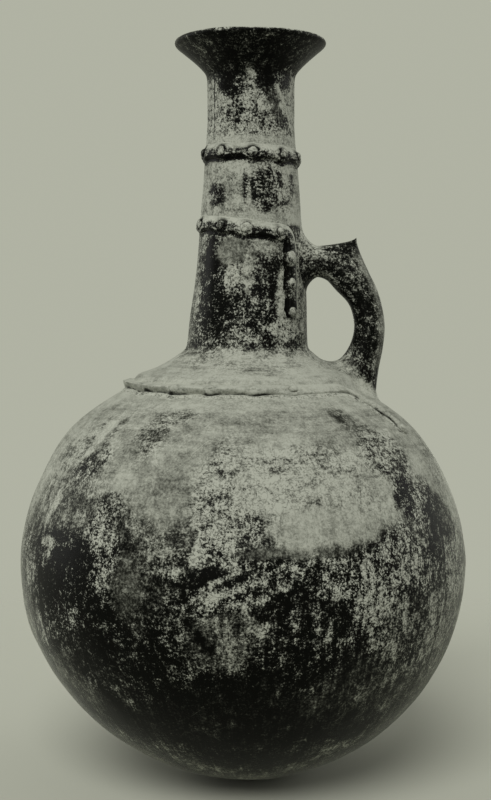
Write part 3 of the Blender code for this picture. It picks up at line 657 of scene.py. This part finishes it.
# Row spacings up to each height; the last goes on to the lip
WALL_ROW_STEPS = ((0.128, 0.0028), (0.158, 0.0014), (0.230, 0.0028), (0.436, 0.0018), (1.0, 0.0008))
# Rows of the inside: distances from the lip at which they start and end, and their spacing
MOUTH_ROWS = (0.0006, 0.030, 0.0015)
INSIDE_STEP = 0.0140
FLOOR_GAP = 0.004


def wall_rows():
    """Distances up the outer profile, closer where the form is small."""
    climbs, climb = [], WALL_BASE_CLIMB
    while climb < CLIMB[-1]:
        climbs.append(climb)
        climb += next(step for top, step in WALL_ROW_STEPS if height_at(climb) < top)
    return np.array(climbs + [CLIMB[-1]])


def make_wall():
    turns = np.arange(WALL_COLUMNS) * math.tau / WALL_COLUMNS - math.pi
    climbs = wall_rows()
    outer = on_wall(turns[None, :], climbs[:, None], 0.0)
    turn, climb = np.broadcast_arrays(turns[None, :], climbs[:, None])
    look = paint(turn, height_at(climb), outer)
    inside = inner_profile()
    steps = distances(inside)
    deep = np.arange(MOUTH_ROWS[1], steps[-1] - FLOOR_GAP, INSIDE_STEP)
    places = np.concatenate([np.arange(*MOUTH_ROWS), deep])
    radii, heights = (np.interp(places, steps, column)[:, None] for column in inside.T)
    inner = from_axis(turns, radii, heights)
    inner += 0.0004 * rough(inner, 0.03, 9.0)[..., None] * np.array((1.0, 1.0, 0.0))
    inner_tone = 0.16 + 0.10 * rough(inner, 0.02, 10.0) + 0.12 * (heights < 0.43)
    upward, around = streak_places(turn, climb)
    inner_upward, inner_around = streak_places(turns[None, :], CLIMB[-1] + places[:, None])
    skin = make_mesh("wall_skin", np.vstack([outer, inner]), {
        "look": np.vstack([look, join(inner_tone, 0.7, 1.0)]),
        "upward": np.vstack([upward, inner_upward]),
        "around": np.vstack([around, inner_around]),
    })
    dress(skin, WALL, (
        "base_bowl", "lower_wall", "lower_belly_wall", "upper_belly_wall", "shoulder_wall",
        "crown_wall", "neck_root_collar", "lower_neck_tube", "upper_neck_tube", "rim_funnel",
    ))


# Cordons: a strip with a soft upper edge and a steep lower edge, with a painted shadow line under
# it.
# Section points: offset in half widths, upper side first, and lift in reliefs, or in tuck depths
# below 0, where the strip is let into the wall
NECK_SECTION = (
    (1.45, -0.20), (1.25, 0.00), (0.95, 0.20), (0.60, 0.58), (0.20, 0.90), (-0.20, 1.02),
    (-0.55, 0.98), (-0.80, 0.78), (-0.94, 0.44), (-0.98, 0.14), (-1.06, 0.05), (-1.30, 0.04),
    (-1.50, 0.03), (-1.62, -0.20),
)
SHOULDER_SECTION = (
    (1.30, -0.20), (1.12, 0.02), (0.92, 0.30), (0.70, 0.72), (0.42, 0.98), (0.10, 1.02),
    (-0.18, 0.94), (-0.36, 0.72), (-0.44, 0.40), (-0.46, 0.12), (-0.54, 0.06), (-0.74, 0.14),
    (-1.00, 0.13), (-1.22, 0.04), (-1.36, -0.20),
)
NECK_FORM = (0.0086, 0.0027)  # width and relief
SHOULDER_FORM = (0.0096, 0.0050)
TUCK_DEPTH = 0.0060
CORDON_SPACING = 0.0011
SHOULDER_THINNING = 0.45
KNOB_REACH = 0.0044
RING_REACH = 0.0007
RING_DEPTH = 0.0005


def upper_cordon_height(turn):
    return 0.3835 - 0.0013 * np.sin(turn)


def lower_cordon_height(turn):
    return 0.3378 - 0.0040 * np.sin(turn)


def shoulder_cordon_height(turn):
    return np.full(np.shape(turn), crown_height(SHOULDER_CORDON_RADIUS))


# Hanging ends: turn at which they leave a run, height of the run, and turn and height of their foot
LOWER_DROP = (36.0, lower_cordon_height, 47.0, 0.2850)
SHOULDER_DROP = (45.0, shoulder_cordon_height, 65.8, 0.2150)


def drop_points(drop, shares):
    """Turns and heights on a hanging end at shares of the way along and down."""
    end_degrees, height_of, foot_degrees, foot_height = drop
    end, foot, shares = math.radians(end_degrees), math.radians(foot_degrees), np.array(shares)
    return join(blend(end, foot, shares[:, 0]), blend(height_of(end), foot_height, shares[:, 1]))


def hung_path(drop, shares):
    """Turn and height along a run whose two ends hang down on either side of the handle."""
    near = drop_points(drop, shares)
    far = near[::-1].copy()
    far[:, 0] = math.pi - far[:, 0] - math.tau
    turns = np.linspace(far[-1, 0], near[0, 0], 40)[1:-1]
    return smooth_curve(np.vstack([far, join(turns, drop[1](turns)), near]), 6)


def run_places(height_of, keys):
    turns = [math.radians(degrees) for degrees, _ in keys]
    return [(turn, float(height_of(turn)), 1.0, dark) for turn, (_, dark) in zip(turns, keys)]


def drop_places(drop, keys):
    points = drop_points(drop, [key[:2] for key in keys])
    return [(*point, *key[2:]) for point, key in zip(points.tolist(), keys)]


def pellet_places():
    """Turn, height, stretch and strength of the painted shade in the ring round each pellet,
    numbered as in the frame.
    """
    upper = run_places(upper_cordon_height, UPPER_PELLETS)
    lower = run_places(lower_cordon_height, LOWER_PELLETS)
    lower += drop_places(LOWER_DROP, LOWER_DROP_PELLETS)
    shoulder = run_places(shoulder_cordon_height, SHOULDER_PELLETS)
    shoulder += drop_places(SHOULDER_DROP, SHOULDER_DROP_PELLETS)
    for places in (lower, shoulder):
        places += [(math.pi - place[0], *place[1:]) for place in places]
    return upper, lower, shoulder


def offsets_from(middle, height, turn, climb):
    """Distances of places on the wall from one of them, sideways and up the wall."""
    sideways = np.radians(away_from(turn, math.degrees(middle))) * radius_at(climb)
    return sideways, climb - climb_at(height)


def ring_share(turn, climb, places):
    """1 on the rim of a pellet, falling to 0 a millimetre or two from it."""
    near = np.zeros(np.broadcast(turn, climb).shape)
    for middle, height, stretch, dark in places:
        sideways, upright = offsets_from(middle, height, turn, climb)
        far = np.hypot(sideways, upright / stretch) - PELLET_RADIUS
        near = np.maximum(near, dark * np.exp(-((far / RING_REACH) ** 2)))
    return near


def thinned(turn, thin):
    """Share of a band's relief at a turn: full on the side away from the handle, thin beside it."""
    return blend(1.0, thin, smooth_step(0.5 + 0.5 * np.sin(turn)))


def strip_line(path, closed):
    """Even steps along a path: turns, climbs, distances from the nearer end, and headings."""
    turn, climb = path[:, 0], climb_at(path[:, 1])
    lengths = distances(join(np.cumsum(np.gradient(turn) * radius_at(climb)), climb))
    count = int(lengths[-1] / CORDON_SPACING)
    along = np.linspace(0.0, lengths[-1], count, endpoint=not closed)
    turn, climb = np.interp(along, lengths, turn), np.interp(along, lengths, climb)
    radius = radius_at(climb)
    if closed:
        ahead_turn = np.full(count, along[1] / radius.mean())
        ahead_climb = 0.5 * (np.roll(climb, -1) - np.roll(climb, 1))
        from_end = np.ones(count)
    else:
        ahead_turn, ahead_climb = np.gradient(turn), np.gradient(climb)
        from_end = np.minimum(along, lengths[-1] - along)
    heading = join(ahead_turn * radius, ahead_climb)
    return turn, climb, from_end, heading / np.linalg.norm(heading, axis=1)[:, None]


def cordon_look(rings, level, knob, ring, faint, from_end, shade, seed):
    """Look of a strip, with painted highlight on its crest and painted shade low on its flank; the
    shade is 1 on the neck and 0 on the shoulder.
    """
    speck = rough(rings, 0.004, seed + 2.0)
    patch = rough(rings, 0.014, seed + 3.0)
    fret = rough(rings, 0.005, seed + 4.0)
    hang = 1.0 - ramp(from_end, 0.045, 0.010)
    # a painted shadow line keeps to the foot of the steep side: broad on the neck, sharp on the
    # shoulder
    start = blend(0.42 - 0.08 * fret, 0.50 + 0.30 * knob - 0.25 * patch, shade)
    finish = blend(0.50 + 0.06 * fret, 1.34, shade)
    line = ramp(-level, start, 0.08) * (1.0 - ramp(-level, finish, 0.10))
    sharp = 0.86 - 0.78 * faint - 0.20 * hang + (0.9 - 0.7 * hang) * np.minimum(fret + 0.2, 0.0)
    broad = 1.0 - 0.55 * hang * smooth_step((0.030 - from_end) / 0.02) - 0.25 * knob + 1.2 * patch
    line = line * np.clip(blend(sharp, broad, shade), 0.0, 1.0)
    # painted light and shade: the crest lighter and the lower flank darker, as under light from
    # above
    crest, flank = blend(0.92, 0.84, shade), blend(0.78, 0.46, shade)
    body = blend(crest, flank, smooth_step((0.75 - level + 0.5 * patch) / 0.8))
    body = blend(body, blend(0.86, 0.46, shade), level < -0.6)
    body = blend(body, blend(0.82, 0.60, shade), knob * (np.abs(level) < 1.1))
    # on a hanging end, a painted highlight along its upper edge over the mottled slip
    hung_with_highlight = blend(0.36, 0.97, ramp(level, 0.45, 0.25))
    body = blend(body, blend(0.80, hung_with_highlight, shade), hang)
    tone = blend(body + blend(0.06, 0.14, shade) * speck, blend(0.14, 0.04, shade), line)
    # painted shade in the crease round each pellet
    tone = blend(tone, 0.05, np.clip(1.0 + 0.8 * patch, 0.0, 1.0) * ring)
    grain = blend(0.18, 0.25 + 0.60 * shade, smooth_step((0.9 - level) / 0.8))
    grain = grain + 0.5 * (1.0 - shade) * (level < -0.6)
    return join(tone, grain, 1.0)


def make_cordon(name, node, path, form, places, shade, seed, thin=1.0, closed=False):
    """A strip of clay along a path of turns and heights, pressed wide under its pellets."""
    width, relief = form
    turn, climb, from_end, heading = strip_line(path, closed)
    radius = radius_at(climb)
    here = on_wall(turn, climb, 0.0)
    taper = np.sqrt(np.clip(from_end / (0.5 * width), 0.0, 1.0)) * 0.98 + 0.02
    swell = 1.0 + 0.16 * rough(here, 0.016, seed) + 0.10 * rough(here, 0.006, seed + 0.5)
    knob = np.zeros(len(turn))
    for middle, height, stretch, _ in places:
        gap = np.hypot(*offsets_from(middle, height, turn, climb))
        knob = np.maximum(knob, np.exp(-((gap / (KNOB_REACH * stretch)) ** 2)))
    press = 0.16 * rough(here, 0.011, seed + 1.0) + 0.10 * rough(here, 0.004, seed + 1.5)
    press = press + 0.34 * knob - 0.14
    section = smooth_curve(SHOULDER_SECTION if shade < 0.5 else NECK_SECTION, 3)
    offset = section[None, :, 0] * taper[:, None]
    below, above = np.maximum(offset / blend(0.44, 1.0, shade), -1.0), 0.3 * np.minimum(offset, 1.0)
    offset = offset + press[:, None] * np.where(offset < 0.0, below, above)
    across = 0.5 * width * offset
    side_turn = turn[:, None] - across * heading[:, 1:2] / radius[:, None]
    side_climb = climb[:, None] + across * heading[:, 0:1]
    ring = ring_share(side_turn, side_climb, places)
    faint = ramp(turn, 0.16, 0.14) * (1.0 - ramp(turn, 0.84, 0.10)) * (1.0 - shade)
    stand = thinned(turn, thin) * swell * (0.35 + 0.65 * taper) * (0.90 + 0.14 * knob)
    stand = stand * (1.0 - 0.55 * faint)
    lift = section[:, 1]
    lift = np.where(lift < 0.0, TUCK_DEPTH * lift, relief * lift * stand[:, None])
    rings = on_wall(side_turn, side_climb, lift - RING_DEPTH * ring * (lift > RING_DEPTH))
    look = cordon_look(
        rings, section[:, 0], knob[:, None], ring, faint[:, None], from_end[:, None], shade, seed,
    )
    upward, around = streak_places(side_turn, side_climb)
    fields = {"look": look, "upward": upward, "around": around}
    dress(make_mesh(name, rings, fields, closed), BAND, (node,))


def make_cordons():
    upper, lower, shoulder = pellet_places()
    turns = np.linspace(-math.pi, math.pi, 241)
    path = join(turns, upper_cordon_height(turns))
    make_cordon(
        "upper_neck_band", "upper_neck_cordon", path, NECK_FORM, upper, 1.0, 11.0, closed=True,
    )
    path = hung_path(LOWER_DROP, LOWER_DROP_SHARES)
    make_cordon("lower_neck_band", "lower_neck_cordon", path, NECK_FORM, lower, 1.0, 12.0)
    path = hung_path(SHOULDER_DROP, SHOULDER_DROP_SHARES)
    make_cordon(
        "shoulder_band", "shoulder_cordon", path, SHOULDER_FORM, shoulder, 0.0, 13.0,
        SHOULDER_THINNING,
    )


# Pellets: flattish buttons pressed into the cordons

PELLET_COLUMNS = 28
PELLET_SHARES = np.array([0.04, 0.22, 0.42, 0.60, 0.74, 0.85, 0.93, 0.98, 1.0, 1.0])
PELLET_SINK = 0.0006
# Rows of pellets: label, relief of the cordon under them, and shade
PELLET_ROWS = (("upper_neck", 0.0024, 1.0), ("lower_neck", 0.0024, 1.0), ("shoulder", 0.0046, 0.0))


def make_pellet(name, node, place, relief, shade, pale, seed):
    turn, height, stretch, dark = place
    climb = float(climb_at(height)) + 0.0014 * (1.0 - shade)
    angles = np.arange(PELLET_COLUMNS) * math.tau / PELLET_COLUMNS
    shape = join(np.cos(angles), np.sin(angles), 0.0) * 0.6
    edge = 1.0 + 0.12 * rough(shape, 1.0, seed) + 0.06 * rough(shape, 0.4, seed + 0.3)
    shares = PELLET_SHARES[:, None]
    lifts = (relief + blend(0.0004, 0.0013, shade)) * np.sqrt(np.clip(1.0 - shares**3.8, 0.0, 1.0))
    lifts[-1] = -PELLET_SINK
    size = PELLET_RADIUS * blend(0.84, 1.0 + 0.10 * math.sin(seed * 2.3), shade)
    size = size * shares * edge[None, :]
    tilt = 0.14 * math.sin(seed * 3.7)
    lift = lifts * (1.0 + tilt * np.sin(angles + seed)[None, :] * shares)
    side_turn = turn + size * np.cos(angles) / float(radius_at(climb))
    side_climb = climb + size * np.sin(angles) * stretch
    rings = on_wall(side_turn, side_climb, lift)
    rings = rings + 0.00020 * rough(rings, 0.0022, seed)[..., None]
    speck = rough(rings, 0.003, seed + 2.0)
    side = smooth_step((shares - 0.78 + 0.08 * speck) / 0.14)
    face = pale + blend(0.03, 0.12, shade) * math.sin(seed * 5.1) + blend(0.05, 0.26, shade) * speck
    # painted light: the upper half of the face lighter and the lower half darker
    face = face + 0.14 * np.sin(angles)[None, :] * shares
    # painted shade round the pellet's foot, darkest where its ring is dark
    tone = blend(face, blend(pale - 0.20, 0.03, dark), side)
    look = join(tone, blend(0.2, 0.7, shade), 0.5)
    upward, around = streak_places(side_turn, side_climb)
    fields = {"look": look, "upward": upward, "around": around}
    dress(make_mesh(name, rings, fields), BUTTON, (node,))


def make_pellets():
    lower_side = len(LOWER_PELLETS) + len(LOWER_DROP_PELLETS)
    for row, ((label, relief, shade), places) in enumerate(zip(PELLET_ROWS, pellet_places())):
        for number, place in enumerate(places, 1):
            pale = blend(0.84, blend(0.74, 0.44, place[3]), shade)
            if label == "lower_neck" and (number - 1) % lower_side >= len(LOWER_PELLETS):
                pale = 0.80
            thin = SHOULDER_THINNING if label == "shoulder" else 1.0
            make_pellet(
                f"{label}_button_{number:02d}", f"{label}_pellet_{number:02d}", place,
                relief * float(thinned(place[0], thin)), shade, pale,
                1.0 + row * 20.0 + number * 1.37,
            )


# Handle with its spur, and its two roots smeared onto the wall

HANDLE_COLUMNS = 56
HANDLE_SPACING = 0.0007
HANDLE_SQUARENESS = 2.6
SPUR_TIP = np.array((0.0706, 0.0, 0.3357))
SPUR_SEAT = np.array((0.0652, 0.0, 0.3232))
SPUR_REACH = np.array((0.0205, 0.0130, 0.0185))
# Pushes on the inner side of the handle's bend: middle, reach, length and heading
HANDLE_PUSHES = (
    ((0.0600, 0.3065), 0.0115, 0.0042, (-0.60, 0.0, -0.80)),
    ((0.0462, 0.3080), 0.0095, 0.0030, (-0.20, 0.0, 0.98)),
)
# Roots: middle on the wall, and how far the clay is smeared up, down and sideways
TOP_ROOT = (0.0379, 0.0, 0.3190), (0.0095, 0.0045, 0.0050)
FOOT_ROOT = (0.0690, 0.0, 0.2440), (0.0135, 0.0040, 0.0050)
ROOT_DEPTH = 0.0025


def handle_middle():
    span = HANDLE_TOP_HEIGHT - HANDLE_FOOT_HEIGHT
    keys = [(HANDLE_REACH * x, HANDLE_FOOT_HEIGHT + span * z) for x, z in HANDLE_PATH_SHARES]
    return respace(smooth_curve(keys, 24), HANDLE_SPACING)


def wall_coordinates(points):
    """Turn, climb and lift of points near the outer wall."""
    x = points[..., 0] - axis_shift(points[..., 2])
    radius = np.hypot(x, points[..., 1])
    turn = np.arctan2(x, -points[..., 1])
    gap_r = radius[..., None] - PROFILE[::2, 0]
    gap_z = points[..., 2, None] - PROFILE[::2, 1]
    near = 2 * (gap_r**2 + gap_z**2).argmin(-1)
    run, rise = radius - PROFILE[near, 0], points[..., 2] - PROFILE[near, 1]
    climb = CLIMB[near] + run * SLOPES[near, 0] + rise * SLOPES[near, 1]
    return turn, climb, run * OUTWARD[near, 0] + rise * OUTWARD[near, 1]


def smear(points, centre, reaches):
    """Spread a root over the wall with a hollow fillet; the reaches are up, down and sideways."""
    turn, climb, lift = wall_coordinates(points)
    centre_turn, centre_climb, _ = wall_coordinates(np.array(centre))
    sideways = (turn - centre_turn) * radius_at(climb)
    upright = climb - centre_climb
    far = np.maximum(np.hypot(sideways, upright), 1e-6)
    sideways, upright = sideways / far, upright / far
    up, down, side = reaches
    reach = side * sideways**2 + np.where(upright > 0.0, up, down) * upright**2
    reach = reach * (1.0 + 0.25 * rough(points, 0.012, 31.0))
    share = np.clip(1.0 - lift / reach, 0.0, 1.0)
    slide = reach * (1.0 - np.sqrt(np.maximum(1.0 - share**2, 0.0)))
    spread_climb = climb + slide * upright
    spread_turn = turn + slide * sideways / radius_at(spread_climb)
    placed = on_wall(spread_turn, spread_climb, np.maximum(lift, -ROOT_DEPTH))
    return blend(points, placed, smooth_step(share / 0.12)[..., None])


def handle_rings(middle, share):
    """Rings round the bar, the side each point faces, 1 for outwards, and noise coordinates."""
    ahead = np.gradient(middle, axis=0)
    ahead /= np.linalg.norm(ahead, axis=1)[:, None]
    away_x, away_z = -ahead[:, 1:2], ahead[:, 0:1]
    root = np.clip(1.0 - share / 0.34, 0.0, 1.0) ** 2
    root = root + np.clip(1.0 - (1.0 - share) / 0.42, 0.0, 1.0) ** 2
    angles = math.tau * (np.arange(HANDLE_COLUMNS) + 0.5) / HANDLE_COLUMNS
    swing, out = np.cos(angles), np.sin(angles)
    size = np.abs(swing) ** HANDLE_SQUARENESS + np.abs(out) ** HANDLE_SQUARENESS
    size = size ** (-1.0 / HANDLE_SQUARENESS)
    half_thick = 0.5 * HANDLE_THICKNESS
    sideways = (0.5 * HANDLE_WIDTH + 0.003 * root) * (swing * size)
    outwards = half_thick * (out * size)
    side = outwards / half_thick
    arm = np.exp(-(((share - 0.14) / 0.07) ** 2))
    spread = np.where(outwards < 0.0, 0.0110 * root, 0.0050 * root - 0.0020 * arm)
    outwards = outwards * (1.0 + spread / half_thick)
    rings = join(middle[:, 0:1] + away_x * outwards, sideways, middle[:, 1:2] + away_z * outwards)
    flow = join(sideways, outwards, share * 0.13 * 0.12)
    dent = 0.00045 * rough(rings, 0.020, 21.0) + 0.00030 * rough(flow, 0.0045, 22.0)
    return rings + join(away_x * out, swing, away_z * out) * dent[..., None], side, flow


def handle_look(rings, share, side, flow):
    east, height = rings[..., 0], rings[..., 2]
    speck = rough(rings, 0.009, 25.0)
    ridge = rough(flow, 0.0040, 26.0)
    tone = 0.22 + 0.10 * speck + 0.22 * ridge
    near_arm = ramp(height, 0.292, 0.014) * (1.0 - ramp(east, 0.066, 0.010))
    tone = blend(tone, 0.31 + 0.10 * speck, near_arm)
    # painted shade on the inside of the handle's bend, below its top
    under = smooth_step((0.303 - height) / 0.006) * ramp(height, 0.284, 0.006) * (east < 0.062)
    tone = blend(tone, 0.06, under)
    high = smooth_step((0.052 - east + 0.003 * speck) / 0.008) * ramp(height, 0.318, 0.005)
    tone = blend(tone, 0.66, high)
    low = smooth_step((0.2565 - height + 1.05 * (0.071 - east) + 0.003 * speck) / 0.010)
    tone = blend(tone, 0.78, low)
    # painted light along the outer side of the bar's middle
    rim = ramp(side, 0.20, 0.60) * (ramp(share, 0.26, 0.06) * (1.0 - ramp(share, 0.78, 0.10)))
    tone = blend(tone, 0.49 + 0.12 * speck, 0.8 * rim)
    heel = np.exp(-(((share - 0.80) / 0.07) ** 2)) * smooth_step((0.9 - side) / 0.5)
    tone = blend(tone, 0.44 + 0.20 * ridge, 0.75 * heel)
    # painted highlight along the inner edges of the bar's upper half
    inner_edge_highlight = np.exp(-(((side + 0.70) / 0.08) ** 2)) * ramp(share, 0.10, 0.05)
    tone = blend(tone, 0.62, 0.7 * (inner_edge_highlight * (1.0 - ramp(share, 0.45, 0.10))))
    return join(tone, blend(blend(0.8, 0.35, low), 0.35, rim), 0.0)


def make_handle():
    middle = handle_middle()
    share = np.linspace(0.0, 1.0, len(middle))[:, None]
    rings, side, flow = handle_rings(middle, share)
    for centre, reach, length, heading in HANDLE_PUSHES:
        far = np.linalg.norm(rings[..., (0, 2)] - np.array(centre), axis=-1) / reach
        push = length * smooth_step(-side / 0.8) * np.exp(-(far**2))
        rings = rings + push[..., None] * np.array(heading)
    gap = np.linalg.norm((rings - SPUR_SEAT) / SPUR_REACH, axis=-1)
    pull = (1.0 - np.minimum(gap, 1.0) ** 0.90) ** 1.20
    rings = rings + (SPUR_TIP - rings) * pull[..., None]
    half = len(middle) // 2
    rings = np.vstack([smear(rings[:half], *TOP_ROOT), smear(rings[half:], *FOOT_ROOT)])
    fields = {"look": handle_look(rings, share, side, flow), "upward": flow, "around": flow}
    dress(make_mesh("handle_skin", rings, fields), GRIP, ("handle", "thumb_spur"))


# Floor, light and camera

FLOOR_COLOUR = (0.455, 0.466, 0.383, 1.0)
FLOOR_RADIUS = 0.9
BACKDROP_COLOUR = (0.437, 0.448, 0.368, 1.0)
# Suns: name, strength, softness, turn and elevation, in degrees
SUNS = (
    ("key", 2.3, 34.0, -14.0, 44.0), ("left_side", 0.8, 40.0, -108.0, 16.0),
    ("right_side", 0.7, 40.0, 108.0, 16.0),
)
CAMERA_PLACE = (0.00155, -0.868, 0.2853)
FOCAL_PIXELS = 1400.0
HALF_HEIGHT_PIXELS = 400.0
HORIZON_PIXELS = 83.0  # how far the picture's middle is below the camera's level


def seen_plain(tree):
    """1 for camera, glossy and transmission rays, 0 for light that falls on things."""
    path = tree.nodes.new("ShaderNodeLightPath")
    seen = math_node(tree, "MAXIMUM", path.outputs["Is Camera Ray"], path.outputs["Is Glossy Ray"])
    return math_node(tree, "MAXIMUM", seen, path.outputs["Is Transmission Ray"])


def make_floor():
    """A round floor that fades out into the backdrop."""
    bpy.ops.mesh.primitive_circle_add(vertices=96, radius=FLOOR_RADIUS, fill_type="NGON")
    floor = bpy.context.object
    floor.name = "floor"
    material = bpy.data.materials.new("pale_floor")
    material.use_nodes = True
    tree = material.node_tree
    shader = fill(tree, tree.nodes["Principled BSDF"], {
        "Base Color": FLOOR_COLOUR, "Roughness": 0.9, "Specular IOR Level": 0.0,
    })
    clear = add_node(tree, "ShaderNodeBsdfTransparent")
    place = tree.nodes.new("ShaderNodeTexCoord").outputs["Object"]
    length = add_node(tree, "ShaderNodeVectorMath", {0: place})
    length.operation = "LENGTH"
    fade = range_node(tree, length.outputs["Value"], 0.30, 0.80, 0.0, 1.0)
    mix_shaders(tree, fade, shader.outputs["BSDF"], clear.outputs["BSDF"], "Material Output")
    floor.data.materials.append(material)


def make_world():
    world = bpy.data.worlds.new("studio")
    bpy.context.scene.world = world
    world.use_nodes = True
    tree = world.node_tree
    lit = fill(tree, tree.nodes["Background"], {"Color": (1.0, 1.0, 0.98, 1.0), "Strength": 0.30})
    plain = add_node(tree, "ShaderNodeBackground", {"Color": BACKDROP_COLOUR, "Strength": 1.0})
    mix_shaders(tree, seen_plain(tree), lit.outputs[0], plain.outputs[0], "World Output")


def add_sun(name, strength, softness, turn, elevation):
    lamp = bpy.data.lights.new(name, "SUN")
    lamp.energy = strength
    lamp.angle = math.radians(softness)
    item = add_object(name, lamp)
    rise, side = math.radians(elevation), math.radians(turn)
    flat = math.cos(rise)
    source = Vector((math.sin(side) * flat, -math.cos(side) * flat, math.sin(rise)))
    item.rotation_euler = source.to_track_quat("Z", "Y").to_euler()


def make_camera():
    camera = bpy.data.cameras.new("camera")
    camera.angle = 2.0 * math.atan(HALF_HEIGHT_PIXELS / FOCAL_PIXELS)
    item = add_object("camera", camera)
    item.location = CAMERA_PLACE
    item.rotation_euler = (0.5 * math.pi - math.atan(HORIZON_PIXELS / FOCAL_PIXELS), 0.0, 0.0)
    bpy.context.scene.camera = item


make_wall()
make_cordons()
make_pellets()
make_handle()
make_floor()
make_world()
for sun in SUNS:
    add_sun(*sun)
make_camera()
bpy.context.scene.view_settings.view_transform = "Standard"
